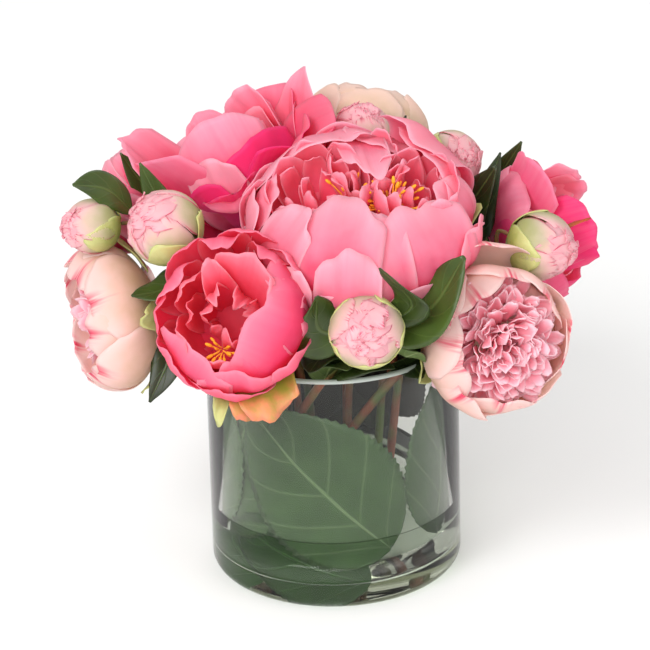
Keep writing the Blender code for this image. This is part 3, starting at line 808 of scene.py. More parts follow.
# A petal wrapped on an egg. bearing and polar, in degrees, say where its middle lies (polar 0 is the
# head's tip), roll turns it there, length and width are in degrees round the egg, and lift raises it
# by a share of the radius, tip_lift more at its tip.
Wrap = namedtuple(
    "Wrap", "bearing polar roll length width lift tip_lift dome notch", defaults=(0.0, 0.5, 0.06)
)


def wrapped(spec, head, rng, rows=18, columns=15):
    """The grid of one petal wrapped on its head's egg."""
    along = np.linspace(0, 1, rows)[:, None]
    across = np.linspace(-1, 1, columns)[None, :]
    reach = along * np.sqrt(1 - spec.dome * across**2)
    for _ in range(3):
        where, size = rng.uniform(-0.8, 0.8), rng.uniform(0.3, 1) * spec.notch
        reach = reach * (1 - size * along**5 * np.exp(-(((across - where) / 0.15) ** 2)))
    claw = 0.45 + 0.55 * smooth_step(reach / 0.5)
    x = across * np.sqrt(1 - spec.dome * along**2) * claw * math.radians(spec.width) / 2
    y = (reach - 0.5) * math.radians(spec.length)
    roll = math.radians(spec.roll)
    x, y = x * math.cos(roll) - y * math.sin(roll), x * math.sin(roll) + y * math.cos(roll)
    b, p = math.radians(spec.bearing), math.radians(spec.polar)
    middle = np.array((math.sin(p) * math.cos(b), math.sin(p) * math.sin(b), math.cos(p)))
    rightwards = np.array((-math.sin(b), math.cos(b), 0.0))
    upwards = np.cross(middle, rightwards)
    away = np.maximum(np.hypot(x, y), 1e-6)
    level = (x / away)[..., None] * rightwards + (y / away)[..., None] * upwards
    facing = np.cos(away)[..., None] * middle + np.sin(away)[..., None] * level
    edge = np.maximum(np.abs(across) ** 3, along**4)
    ripple = np.sin(6 * np.arctan2(across, along - 0.4) + rng.uniform(0, TAU))
    crease = np.sin(7 * across + rng.uniform(0, TAU)) * along
    lift = 1 + spec.lift * smooth_step(along / 0.5) - 0.06 * (1 - smooth_step(along / 0.3))
    lift = lift + spec.tip_lift * along**4 + 0.014 * edge * ripple + 0.006 * crease
    local = facing * lift[..., None] * (head.radius, head.radius, head.depth / 2)
    local = local + (0, 0, head.depth / 2)
    return local @ head.turn.T + head.base, rng.random(), 0.0


def bud(node, stem, seed, wraps, *finishes, slot="bud_petal"):
    """A closed head: petals wrapped over each other in layers, each layer with its own finish."""
    rng = random.Random(seed)
    head = head_of(node, stem)
    # A little smaller than its node, so that lifted tips stay inside it.
    head = head._replace(radius=head.radius * 0.95, depth=head.depth * 0.97)
    nodes = [node]
    for label, layer, finish in zip(("wrapped", "crumpled"), wraps(rng), finishes):
        grids = [wrapped(spec, head, rng) for spec in layer]
        made = petals_object(f"{node}_{label}_petals", grids, *finish)
        finish_piece(made, slot, *nodes)
        nodes = []
    return head, rng


def tight_wraps(rng):
    """Broad petals closed round the side, and the crumpled tips of many more that fill the face."""
    first = rng.uniform(0, 360)
    side = []
    for i in range(7):
        bearing = first + 60 + GOLDEN_DEGREES * i
        side.append(Wrap(bearing, 88, rng.uniform(-12, 12), 124, 92, 0.01 * i, 0.03, 0.4, 0.1))
    face = []
    for i in range(18):
        bearing, polar = first + GOLDEN_DEGREES * i, 6 + 2.8 * i
        size, lift = rng.uniform(50, 76), 0.075 - 0.004 * i
        roll, wide = rng.uniform(-50, 50), rng.uniform(0.55, 0.85)
        tip = rng.uniform(0.0, 0.16) if polar < 40 else 0.02
        face.append(Wrap(bearing, polar + 10, roll, size, wide * size, lift, tip, 0.35, 0.16))
    return side, face


def loose_wraps(rng):
    """A head about to open: broad petals whose tips stand away from each other."""
    first = rng.uniform(0, 360)
    made = [Wrap(first + 120 * i, 50, 0, 110, 120, -0.12, 0.0) for i in range(3)]
    for i in range(7):
        tip = rng.uniform(0.1, 0.35)
        made.append(Wrap(first + 137.5 * i, 78, rng.uniform(-10, 10), 140, 100, 0.015 * i, tip))
    return (made,)


def sepals_piece(name, grids, finish, slot="leaf"):
    made = thicken(grids_object(name, grids, (finish,)), SEPAL_THICKNESS)
    return finish_piece(made, slot)


def bud_sepals(name, head, rng, wraps):
    grids = [wrapped(spec, head, rng, 14, 13) for spec in wraps]
    sepals_piece(name, grids, SEPAL, "bud_petal")


def held(rng, first, reaches):
    """Sepals that hold a bud. reaches says how far up each comes, in degrees from its stem."""
    count = len(reaches)
    made = []
    for i, reach in enumerate(reaches):
        polar, width = 182 - reach / 2, min(100, 0.85 * reach)
        made.append(Wrap(first + 360 / count * i, polar, rng.uniform(-6, 6), reach, width, 0.05, 0.03))
    return made


# Each bud: node, stem, seed, bearing of its tallest sepal and how far up each sepal comes.
Bud = namedtuple("Bud", "node stem seed first reaches")
BUDS = (
    Bud("left_bud", "left_bud_stem", 3, -40, (118, 90, 64, 84)),
    Bud("far_left_bud", "blush_left_stem", 5, -10, (132, 84, 60)),
    Bud("crown_bud", "peach_back_stem", 7, 90, (80, 70, 60)),
    Bud("upper_right_bud", "rose_right_stem", 9, 135, (120, 70, 70)),
    Bud("right_bud", "rose_right_stem", 12, 180, (125, 70, 90)),
    Bud("front_bud", "front_bud_stem", 15, 60, (122, 114, 118, 124, 116)),
    Bud("back_bud", "peach_back_stem", 18, 30, (100, 80, 70)),
)


HALF_OPEN = (("half_open_coral", CORAL_OUT, CORAL_IN), ("half_open_rose", ROSE_OUT, ROSE_IN))


def buds():
    for spec in BUDS:
        finishes = (BUD_SIDE, BUD_SIDE), (BUD_FACE, BUD_FACE)
        head, rng = bud(spec.node, spec.stem, spec.seed, tight_wraps, *finishes)
        bud_sepals(spec.node + "_sepals", head, rng, held(rng, spec.first, spec.reaches))
    for node, outer, inner in HALF_OPEN:
        slot = node.replace("half_open_", "") + "_petal"
        head, rng = bud(node, "half_open_coral_stem", 21, loose_wraps, (outer, inner), slot=slot)
        bud_sepals(node + "_sepals", head, rng, held(rng, 0, (80, 70, 60)))


def bloom_sepals(name, head, rng, finish, spots):
    """Sepals under an open bloom. spots holds each one's bearing, how far up the side it comes as a
    share of the depth, and its width as a share of the radius."""
    grids = []
    for turn, top, width in spots:
        path = [(0.06, -0.02), (0.5, 0.0), (0.88, 0.16), (1.06, 0.3 + 0.4 * (top - 0.3)), (1.07, top)]
        spec = Petal(turn, path, width, cup=0.9, claw=0.6, wave=0.03, notch=0.05)
        grids.append(petal(spec, head, rng, 14, 11))
    sepals_piece(name, grids, finish)


SEPALS_ROUND = ((20, 0.4, 0.6), (110, 0.3, 0.6), (200, 0.42, 0.7), (290, 0.32, 0.6))


# ---------------------------------------------------------------------------------------------
# Open blooms
# ---------------------------------------------------------------------------------------------


def coral_bloom():
    """The big bloom in the middle: broad petals closed like a cabbage's over three small hollows."""
    rng = random.Random(11)
    head = head_of("coral_bloom_guard_petals", "coral_bloom_stem")
    smooth = {"claw": 0.5, "notch": 0.03, "wave": 0.02, "waves": 4, "flare": 0.04}
    broad = {**smooth, "dome": 0.25}
    front = {**broad, "cup": 1.3, "flare": 0.0}
    outer = [
        globe(-112, 100, 1.0, 1.1, **smooth),
        globe(-62, 98, 1.0, 1.15, **smooth),
        globe(-20, 106, 0.98, 1.2, **smooth),
        globe(40, 116, 0.98, 1.3, **smooth),
        globe(95, 116, 1.0, 1.4, **smooth),
        globe(150, 112, 0.98, 1.3, **smooth),
        globe(-98, 134, 1.06, 0.68, tilt=0.06, **broad),
        globe(-126, 116, 1.06, 0.5, tilt=-0.06, **broad),
        globe(-160, 104, 1.04, 0.8, **broad),
        globe(-20, 112, 1.05, 0.8, inside=0.3, **broad),
        globe(-178, 122, 1.02, 0.9, **broad),
        globe(166, 122, 1.03, 0.6, **smooth),
    ]
    # These close over the hollows, from the front and from behind.
    over = [
        globe(-106, 166, 0.97, 0.86, **front),
        globe(-52, 152, 1.0, 1.15, slant=0.1, **front),
        globe(-78, 156, 0.93, 0.6, **front),
        globe(-142, 146, 0.96, 0.6, slant=-0.05, **broad),
        globe(-12, 140, 0.97, 0.75, slant=0.1, **broad),
        globe(143, 131, 0.985, 1.1, **broad),
        globe(112, 155, 0.98, 1.1, **broad),
        globe(35, 146, 1.0, 1.1, **broad),
        globe(50, 146, 1.1, 1.1, **broad),
        globe(6, 134, 0.93, 0.8, **broad),
        globe(176, 134, 0.93, 0.7, **broad),
        globe(74, 154, 0.95, 0.8, **broad),
        globe(96, 184, 0.9, 0.5, slant=-0.12, **broad),
    ]
    node = "coral_bloom_guard_petals"
    coral = (CORAL_OUT, CORAL_IN)
    closing = [bottom(head, 0.5, 0.04, 0.1)]
    name, guards = "coral_bloom_broad_petals", outer + over
    grown(name, guards, head, rng, coral, "coral_petal", node, 22, 19, closing)

    grids = []
    wall = [(0.1, 0.0), (0.5, 0.1), (0.9, 0.45), (0.98, 0.8), (0.9, 1.0)]
    inner = [(0.1, 0.05), (0.35, 0.12), (0.62, 0.4), (0.66, 0.75), (0.56, 0.92)]
    core = [(0.05, 0.05), (0.18, 0.15), (0.36, 0.42), (0.38, 0.7), (0.24, 0.86)]
    hollows = (-0.32, 0.1, -6, 0.44), (0.42, 0.08, 8, 0.4), (0.05, 0.36, 0, 0.34)
    for aside, up, lean, size in hollows:
        hollow = tilted(head, aside, up, 0.42, lean, -6, size, 0.52)
        hold = {"cup": 0.8, "claw": 0.45, "notch": 0.04, "wave": 0.05}
        for spec in ring(rng, 9, 20, wall, 0.1, width=1.3, inside=0.0, **hold):
            grids.append(petal(spec, hollow, rng, 14, 13))
        for spec in ring(rng, 8, 50, inner, 0.2, width=0.7, inside=0.1, **hold):
            grids.append(petal(spec, hollow, rng, 12, 9))
        for spec in ring(rng, 6, 10, core, 0.25, width=0.5, inside=0.2, **hold):
            grids.append(petal(spec, hollow, rng, 12, 9))
        grids.append(bottom(hollow, 0.9, 0.12, 0.12))
    hearts = petals_object("coral_bloom_inner_folds", grids, CORAL_IN, CORAL_IN)
    finish_piece(hearts, "coral_petal", "coral_bloom_inner_petals")

    for side, aside, up, count, seed in (("left", -0.08, 0.06, 16, 4), ("right", 0.26, -0.04, 34, 5)):
        tuft = tilted(head, aside, up, 0.64, 0, -12, 1, 1)
        size = {"Count": count, "Spread": 5 * MM, "Lean": 0.5, "Length": 17 * MM, "Seed": seed}
        stamens("coral_bloom_stamens_" + side, tuft, size)
    bloom_sepals("coral_bloom_sepals", head, rng, SEPAL, [(60 * i + 20, 0.4, 0.6) for i in range(4)])


def cerise_bloom():
    """Front left: a scalloped cup that looks out at the viewer. One broad petal folds over it from
    the right, and crumpled ones and stamens fill it low on the left."""
    rng = random.Random(5)
    head = head_of("cerise_bloom_guard_petals", "cerise_bloom_stem")
    scallop = {"claw": 0.5, "notch": 0.04, "wave": 0.02, "waves": 7}
    guards = [
        globe(128, 106, 1.08, 1.2, inside=0.5, **scallop),
        globe(82, 108, 1.12, 1.2, **scallop),
        globe(42, 110, 1.05, 1.1, **scallop),
        globe(2, 112, 0.98, 1.1, **scallop),
        globe(-42, 114, 1.03, 1.3, **scallop),
        globe(-92, 116, 1.06, 1.5, inside=0.2, **scallop),
        globe(-140, 116, 1.04, 1.3, **scallop),
        globe(176, 114, 0.98, 1.2, inside=0.5, **scallop),
        globe(100, 124, 1.06, 0.9, **scallop),
        globe(152, 128, 0.96, 1.0, **scallop),
        globe(-126, 142, 0.98, 1.5, dome=0.25, **scallop),
        globe(-84, 134, 1.01, 1.2, dome=0.3, **scallop),
        globe(60, 122, 1.0, 0.9, **scallop),
        globe(-20, 163, 0.97, 1.9, dome=0.15, **scallop),
        globe(24, 142, 0.94, 1.1, dome=0.3, **scallop),
        globe(-62, 150, 0.93, 1.2, dome=0.3, **scallop),
    ]
    cerise = (CERISE_OUT, CERISE_IN)
    node = "cerise_bloom_guard_petals"
    closing = [bottom(head, 0.5, 0.04, 0.1)]
    grown("cerise_bloom_cup_petals", guards, head, rng, cerise, "cerise_petal", node, 22, 19, closing)

    standing = [(0.1, 0.1), (0.2, 0.3), (0.42, 0.55), (0.66, 0.78), (0.84, 0.92)]
    arch = [(0.1, 0.05), (0.4, 0.12), (0.66, 0.4), (0.72, 0.7), (0.62, 0.92)]
    curl = [(0.06, 0.1), (0.2, 0.2), (0.34, 0.42), (0.3, 0.66), (0.16, 0.78)]
    fold = {"notch": 0.04, "wave": 0.03, "waves": 6, "claw": 0.4}
    inner = [
        Petal(70, standing, 1.05, cup=1.2, dome=0.3, **fold),
        Petal(112, [(r * 0.9, h) for r, h in standing], 0.6, cup=0.3, **fold),
        Petal(148, arch, 0.9, cup=0.5, inside=0.3, **fold),
        Petal(176, [(r * 0.8, h * 0.9) for r, h in arch], 0.7, cup=0.4, inside=0.5, **fold),
        Petal(-150, arch, 0.9, cup=0.6, inside=0.3, **fold),
        Petal(-100, [(r, h * 0.9) for r, h in arch], 0.9, cup=0.6, **fold),
        Petal(30, arch, 0.9, cup=0.6, **fold),
        Petal(-30, [(r * 0.8, h * 0.95) for r, h in arch], 0.9, cup=0.6, **fold),
    ]
    inner += ring(rng, 7, 20, curl, 0.2, width=0.42, cup=0.25, notch=0.08, wave=0.08, inside=0.2)
    node = "cerise_bloom_inner_petals"
    hollow = (CERISE_IN, CERISE_IN)
    closing = [bottom(head, 0.7, 0.2, 0.1)]
    grown("cerise_bloom_inner_folds", inner, head, rng, hollow, "cerise_petal", node, 16, 15, closing)
    tuft = tilted(head, -0.1, -0.45, 0.56, 0, 0, 1, 1)
    size = {"Count": 16, "Spread": 3 * MM, "Lean": 0.7, "Length": 7.5 * MM, "Seed": 4}
    stamens("cerise_bloom_stamens", tuft, size)
    hanging = [(0.3, 0.05), (0.8, 0.2), (1.08, 0.36), (1.26, 0.42), (1.42, 0.38)]
    ruffle = {"cup": 0.9, "claw": 0.8, "wave": 0.08, "waves": 3, "notch": 0.04, "dome": 0.3}
    drooping = [
        Petal(-64, hanging, 0.9, tilt=0.3, **ruffle),
        Petal(-80, [(r * 0.96, h) for r, h in hanging], 0.5, tilt=0.1, **ruffle),
    ]
    grids = [petal(spec, head, rng, 16, 13) for spec in drooping]
    sepals_piece("cerise_bloom_sepals", grids, SEPAL_FLUSHED)
    low = [(r * 1.02, h * 0.8) for r, h in hanging]
    green = Petal(-97, low, 0.4, dome=0.6, cup=0.5, wave=0.04)
    sepals_piece("cerise_bloom_green_sepal", [petal(green, head, rng, 14, 11)], SEPAL)


def ruffled_bloom():
    """Upper left: a lax bloom of wide ruffled petals, seen mostly from outside. Turn 0 faces the
    front, -90 the left and 90 the right."""
    rng = random.Random(8)
    head = head_of("ruffled_bloom_guard_petals", "ruffled_bloom_stem")
    soft = {"wave": 0.05, "waves": 3, "notch": 0.02, "dome": 0.25}
    pointed = {**soft, "dome": 0.75, "tilt": -0.5}
    guards = [
        lax(-76, 1.0, 1.13, 1.0, inside=0.1, tilt=0.4, **soft),
        lax(-60, 0.97, 0.94, 1.25, inside=0.3, tilt=-0.4, **soft),
        lax(12, 0.42, 1.02, 1.3, **soft),
        lax(-5, 0.64, 0.75, 0.8, **soft),
        lax(50, 0.69, 0.735, 1.2, inside=0.95, **soft),
        lax(82, 1.3, 0.46, 1.1, inside=0.9, tilt=-0.4, **soft),
        lax(66, 1.1, 0.56, 1.1, inside=0.9, **soft),
        lax(120, 1.19, 0.885, 1.4, inside=0.2, **pointed),
        lax(150, 1.0, 0.82, 1.1, inside=0.6, **soft),
        lax(150, 0.51, 0.99, 0.75, **soft),
        lax(-150, 0.9, 0.88, 0.6, inside=0.2, **soft),
        lax(10, 0.9, 0.3, 0.9, inside=1.0, **soft),
        lax(-40, 0.86, 0.55, 1.3, inside=0.95, **soft),
        lax(175, 0.9, 0.82, 1.0, inside=0.3, **soft),
        lax(-130, 0.95, 0.74, 1.3, **soft),
        lax(205, 0.95, 0.76, 1.4, **soft),
        lax(-105, 0.9, 0.6, 1.2, inside=0.7, **soft),
        lax(20, 0.8, 0.45, 1.2, inside=0.9, **soft),
        lax(72, 0.9, 0.45, 1.2, inside=0.9, **soft),
        lax(150, 1.0, 0.55, 1.3, inside=0.4, **soft),
    ]
    node = "ruffled_bloom_guard_petals"
    rose = (ROSE_OUT, ROSE_IN)
    closing = [bottom(head, 0.5, 0.04, 0.1)]
    grown("ruffled_bloom_lax_petals", guards, head, rng, rose, "rose_petal", node, 22, 19, closing)
    fold = [(0.1, 0.05), (0.3, 0.1), (0.5, 0.35), (0.52, 0.6), (0.46, 0.78)]
    curl = [(0.06, 0.08), (0.2, 0.14), (0.3, 0.35), (0.3, 0.6), (0.22, 0.8)]
    inner = ring(rng, 6, 20, fold, 0.08, width=0.95, cup=0.6, notch=0.05, wave=0.06, inside=0.2)
    inner += ring(rng, 6, 50, curl, 0.1, width=0.6, cup=0.35, notch=0.06, wave=0.06, inside=0.4)
    node = "ruffled_bloom_inner_petals"
    hollow = (ROSE_IN, ROSE_IN)
    grown("ruffled_bloom_inner_folds", inner, head, rng, hollow, "rose_petal", node, 16, 15)
    spots = [(32, 0.47, 0.62), (-60, 0.3, 0.5), (180, 0.35, 0.6), (110, 0.3, 0.6)]
    bloom_sepals("ruffled_bloom_sepals", head, rng, SEPAL_RUST, spots)


def blush_bloom(name, stem, seed, reaches, heart=(), extra=(), blush=(BLUSH_OUT, BLUSH_IN)):
    """A ball of smooth cream guard petals round narrow ragged ones. reaches says how far the guards
    come over at the right, the top, the left and the bottom."""
    rng = random.Random(seed)
    head = head_of(name + "_guard_petals", stem)
    plain = {"claw": 0.6, "notch": 0.012, "wave": 0.01, "dome": 0.32, "cleft": 0.05}
    guards = []
    for layer, (count, size) in enumerate(((5, 1.0), (5, 0.95))):
        for i in range(count):
            turn = seed * 20 + 360 / count * (i + 0.5 * layer) + rng.uniform(-6, 6)
            reach = np.interp(turn % 360, (0, 90, 180, 270, 360), (*reaches, reaches[0]))
            guards.append(globe(turn, reach - 8 + 10 * layer, size, 1.5 - 0.1 * layer, **plain))
    guards += list(extra)
    node = name + "_guard_petals"
    closing = [bottom(head, 0.6, 0.04, 0.2), bottom(head, 0.86, 0.4, 0.14)]
    grown(name + "_bowl_petals", guards, head, rng, blush, "blush_petal", node, 22, 21, closing)
    size = {
        "Count": 215,
        "Spread": 0.53 * head.radius,
        "Dome": 0.26 * head.depth,
        "Lean": 1.15,
        "Loose": 0.68,
        "Inner size": 0.95,
        "Outer size": 1.0,
        **dict(heart),
    }
    place = tilted(head, 0, 0, 0.44, 0, 0, 1, 1)
    filling = spiral_heart(name + "_ragged_petals", place, seed, size)
    finish_piece(filling, "heart_petal", name + "_inner_petals")
    bloom_sepals(name + "_sepals", head, rng, SEPAL, SEPALS_ROUND)


def rose_bloom(name, stem, seed, flare, extra=(), straying=()):
    """A rose-pink bloom with ruffled outer petals round a full heart. extra petals and straying
    sepals come on top of the even ones."""
    rng = random.Random(seed)
    head = head_of(name + "_guard_petals", stem)
    soft = {"notch": 0.03, "wave": 0.035, "waves": 4, "claw": 0.5, "dome": 0.2}
    guards = []
    for layer, (reach, size) in enumerate(((94, flare), (108, 1.04), (122, 0.98))):
        for i in range(4):
            turn = seed * 10 + 90 * (i + 0.5 * layer) + rng.uniform(-8, 8)
            # Those that hang lowest are the deepest pink.
            deep = 0.55 - 0.45 * math.sin(math.radians(turn)) + rng.uniform(-0.15, 0.15)
            reached = reach + rng.uniform(-5, 5)
            guards.append(globe(turn, reached, size, 1.6, inside=max(deep, 0), **soft))
    guards += list(extra)
    node = name + "_guard_petals"
    rose = (ROSE_OUT, ROSE_IN)
    closing = [bottom(head, 0.5, 0.04, 0.1)]
    grown(name + "_cup_petals", guards, head, rng, rose, "rose_petal", node, 20, 17, closing)
    fold = [(0.1, 0.05), (0.35, 0.1), (0.62, 0.4), (0.68, 0.66), (0.5, 0.84)]
    curl = [(0.06, 0.08), (0.2, 0.14), (0.36, 0.4), (0.36, 0.6), (0.2, 0.8)]
    inner = ring(rng, 6, 20, fold, 0.1, width=1.0, cup=0.6, notch=0.05, wave=0.06, inside=0.3)
    inner += ring(rng, 6, 50, curl, 0.15, width=0.6, cup=0.35, notch=0.06, wave=0.06, inside=0.5)
    node = name + "_inner_petals"
    grown(name + "_inner_folds", inner, head, rng, (ROSE_IN, ROSE_IN), "rose_petal", node, 16, 15)
    bloom_sepals(name + "_sepals", head, rng, SEPAL_RUST, SEPALS_ROUND)
    if straying:
        grids = [petal(spec, head, rng, 14, 9) for spec in straying]
        sepals_piece(name + "_long_sepal", grids, SEPAL_RUST)


def blooms():
    coral_bloom()
    cerise_bloom()
    ruffled_bloom()
    hood = globe(92, 98, 1.28, 1.7, claw=0.6, notch=0.0, wave=0.01, dome=0.4)
    filler = globe(168, 142, 0.975, 1.3, claw=0.6, notch=0.012, wave=0.01, dome=0.32)
    blush_bloom("blush_bloom_right", "blush_right_stem", 4, (112, 128, 145, 130), extra=[hood, filler])
    closed = {"Count": 110, "Dome": 2 * MM, "Spread": 15 * MM}
    blush_bloom("blush_bloom_left", "blush_left_stem", 6, (140, 140, 132, 138), closed)
    blush_bloom("peach_bloom_back", "peach_back_stem", 9, (150, 150, 150, 150), closed, (), (PEACH, PEACH))
    blush_bloom("blush_bloom_back", "blush_back_stem", 13, (124, 124, 124, 124), {"Count": 120})
    soft = {"wave": 0.05, "waves": 3, "notch": 0.03, "dome": 0.3}
    fallen = [
        lax(112, 1.3, 0.84, 1.2, tilt=-0.5, inside=0.4, **soft),
        lax(70, 0.66, 1.14, 1.2, tilt=0.5, inside=0.05, **soft),
        lax(40, 0.5, 1.12, 1.0, inside=0.2, **soft),
        lax(200, 0.74, 1.12, 1.2, inside=1.0, **soft),
        lax(172, 0.84, 1.24, 1.3, inside=0.95, **soft),
    ]
    over = [(0.1, 0.0), (0.6, 0.05), (1.02, 0.3), (1.1, 0.65), (1.04, 0.95), (0.92, 1.2)]
    straying = [Petal(164, over, 0.18, cup=0.3, dome=0.75, claw=0.4)]
    rose_bloom("rose_bloom_right", "rose_right_stem", 17, 1.04, fallen, straying)
    rose_bloom("rose_bloom_back", "rose_back_stem", 19, 1.05)


# ---------------------------------------------------------------------------------------------
# Leaves and stems
# ---------------------------------------------------------------------------------------------

LeafPlace = namedtuple("LeafPlace", "start middle tip side half")


def leaf_place(node, stem):
    """A leaf read from its CAD node: its stalk's foot, the middle of its midrib, its tip, the way
    across it and half its width."""
    points, carrier = node_points(node), node_points(stem)
    gaps = np.linalg.norm(points[:, None] - carrier[None], axis=2).min(axis=1)
    foot = points[gaps.argmin()]
    start = points[np.linalg.norm(points - foot, axis=1) < 2 * MM].mean(axis=0)
    far = np.linalg.norm(points - start, axis=1)
    tip = points[far > far.max() - 1.2 * MM].mean(axis=0)
    chord = unit(tip - start)
    share = (points - start) @ chord / np.linalg.norm(tip - start)
    band = points[np.abs(share - 0.5) < 0.17]
    middle = band.mean(axis=0)
    spread = band - middle
    spread = spread - (spread @ chord)[:, None] * chord
    side = unit(np.linalg.svd(spread)[2][0])
    across = spread @ side
    half = np.abs(across).max()
    lifted = spread @ np.cross(side, chord)
    outer = lifted[np.abs(across) > 0.6 * half].mean()
    if outer < lifted[np.abs(across) < 0.25 * half].mean():
        side = -side
    return LeafPlace(start, middle, tip, side, half)


def leaf_grid(place, rng, rows=30, columns=13):
    """A peony leaflet on a curved midrib: folded along it, waved at its margins, on a thin stalk."""
    along = np.linspace(0, 1, rows)[:, None] + np.zeros((1, columns))
    across = np.linspace(-1, 1, columns)[None, :] + np.zeros((rows, 1))
    midrib, heading = through([place.start, place.middle, place.tip], along)
    beside = place.side - heading * (heading @ place.side)[..., None]
    beside = beside / np.linalg.norm(beside, axis=-1, keepdims=True)
    normal = np.cross(beside, heading)
    blade = np.clip((along - 0.1) / 0.9, 0, 1)
    width = place.half * np.maximum(0.07, np.sin(np.pi * blade**0.8) ** 0.8)
    width = width * (1 + 0.05 * np.sin(9 * along + rng.uniform(0, TAU)) * np.sign(across))
    ripple = np.sin(TAU * 1.5 * along + rng.uniform(0, TAU) + 1.2 * across)
    lift = 0.22 * np.abs(across) - 0.15 * across**4 + 0.2 * across**2 * ripple * along
    lift = lift + 0.25 * along**3 * rng.uniform(-1, 1) * across
    return midrib + (beside * across[..., None] + normal * lift[..., None]) * width[..., None]


def leaf_piece(name, grid, rng, faces, *nodes):
    made = grids_object(name, [(grid, rng.random(), 0.0)], faces)
    thicken(made, LEAF_THICKNESS, True)
    return finish_piece(made, "leaf", *nodes)


# How much broader than its CAD plate a leaf's blade is.
BROADER = {"front_right_leaf": 1.5, "centre_left_leaf": 1.3, "tall_right_leaf": 1.0, "crown_leaf": 1.0}


def leaf(node, stem, rng):
    place = leaf_place(node, stem)
    grid = leaf_grid(place._replace(half=place.half * BROADER.get(node, 1.15)), rng)
    leaf_piece(node + "_blade", grid, rng, (LEAF_TOP, LEAF_UNDER), node)


# Small leaves too many to model one by one in CAD: the stem each grows on, the height it leaves it
# at, the way its tip points in degrees from +X, how far out and up the tip lies, and its width.
Filler = namedtuple("Filler", "stem height bearing out up width")
FILLERS = (
    Filler("front_bud_stem", 150, -110, 42, 16, 26),
    Filler("front_bud_stem", 140, -70, 46, 30, 26),
    Filler("cerise_bloom_stem", 130, -75, 56, 26, 28),
    Filler("blush_right_stem", 126, -60, 62, 30, 30),
    Filler("blush_right_stem", 138, -75, 52, 22, 24),
    Filler("blush_right_stem", 134, -35, 40, 26, 26),
    Filler("coral_bloom_stem", 128, -95, 58, 34, 34),
    Filler("coral_bloom_stem", 140, -60, 54, 30, 34),
    Filler("coral_bloom_stem", 150, -130, 50, 20, 32),
    Filler("rose_right_stem", 132, -20, 52, 30, 30),
    Filler("rose_right_stem", 150, 20, 50, 30, 30),
    Filler("left_bud_stem", 140, -150, 40, 26, 22),
    Filler("blush_left_stem", 140, 150, 46, 20, 26),
    Filler("half_open_coral_stem", 150, 130, 44, 26, 28),
    Filler("rose_back_stem", 128, 110, 56, 20, 30),
    Filler("peach_back_stem", 140, 80, 60, 20, 32),
    Filler("blush_back_stem", 130, 50, 56, 18, 32),
    Filler("ruffled_bloom_stem", 140, 170, 50, 30, 30),
    Filler("front_bud_stem", 160, -40, 46, 34, 34),
    Filler("front_bud_stem", 146, -30, 50, 22, 32),
    Filler("blush_right_stem", 140, -95, 44, 34, 30),
    Filler("coral_bloom_stem", 150, -85, 66, 40, 40),
    Filler("coral_bloom_stem", 140, -110, 66, 26, 36),
)


def filler_leaves(rng):
    """Dark leaves that fill the gaps under the blooms."""
    for i, spec in enumerate(FILLERS):
        points = node_points(spec.stem)
        level = points[np.abs(points[:, 2] - spec.height * MM) < 9 * MM]
        start = level[np.hypot(level[:, 0], level[:, 1]).argmin()]
        bearing = math.radians(spec.bearing)
        aim = np.array((math.cos(bearing), math.sin(bearing), 0.0))
        tip = start + aim * spec.out * MM + UP * spec.up * MM
        middle = start + aim * 0.5 * spec.out * MM + UP * (0.62 * spec.up + 5) * MM
        side = unit(np.cross(aim, UP) + rng.uniform(-0.4, 0.4) * UP)
        place = LeafPlace(start, middle, tip, side, spec.width * MM / 2)
        name = f"small_leaf_{i:02d}"
        leaf_piece(name, leaf_grid(place, rng, 22, 11), rng, (LEAF_TOP, LEAF_UNDER))


LEAF_STEMS = {
    "left_top_leaf": "blush_left_stem",
    "left_dark_leaf": "half_open_coral_stem",
    "left_upright_leaf": "left_bud_stem",
    "left_low_leaf": "blush_left_stem",
    "left_middle_leaf": "left_bud_stem",
    "centre_left_leaf": "front_bud_stem",
    "twisted_leaf": "front_bud_stem",
    "front_right_leaf": "front_bud_stem",
    "rim_right_leaf": "blush_right_stem",
    "upper_right_leaf": "rose_right_stem",
    "tall_right_leaf": "rose_right_stem",
    "far_right_leaf": "rose_right_stem",
    "crown_leaf": "peach_back_stem",
    "back_left_leaf": "rose_back_stem",
    "back_middle_leaf": "peach_back_stem",
    "back_right_leaf": "blush_back_stem",
}


def lining(name, radius, mean, low, high, half, rng, faces, *nodes):
    """A broad toothed leaf rolled round the inside of the glass. low and high are its ends, as
    distances round the wall and heights."""
    midrib = high - low
    side = np.array((midrib[1], -midrib[0])) / np.linalg.norm(midrib)
    along = np.linspace(0, 1, 4 * LEAF_TEETH + 1)[:, None]
    across = np.linspace(-1, 1, 17)[None, :]
    saw = np.abs(np.mod(along * LEAF_TEETH, 1) - 0.75)
    width = half * np.maximum(0.04, np.sin(np.pi * along**0.85) ** 0.62)
    width = width * (1 - 0.06 * saw * np.abs(across) ** 6)
    x = low[0] + midrib[0] * along + side[0] * width * across
    z = low[1] + midrib[1] * along + side[1] * width * across
    around = mean + x / radius
    inset = radius - 0.35 * MM * (1 + np.sin(17 * along + 3 * across))
    grid = np.stack((inset * np.cos(around), inset * np.sin(around), z), axis=-1)
    leaf_piece(name, grid, rng, faces, *nodes)


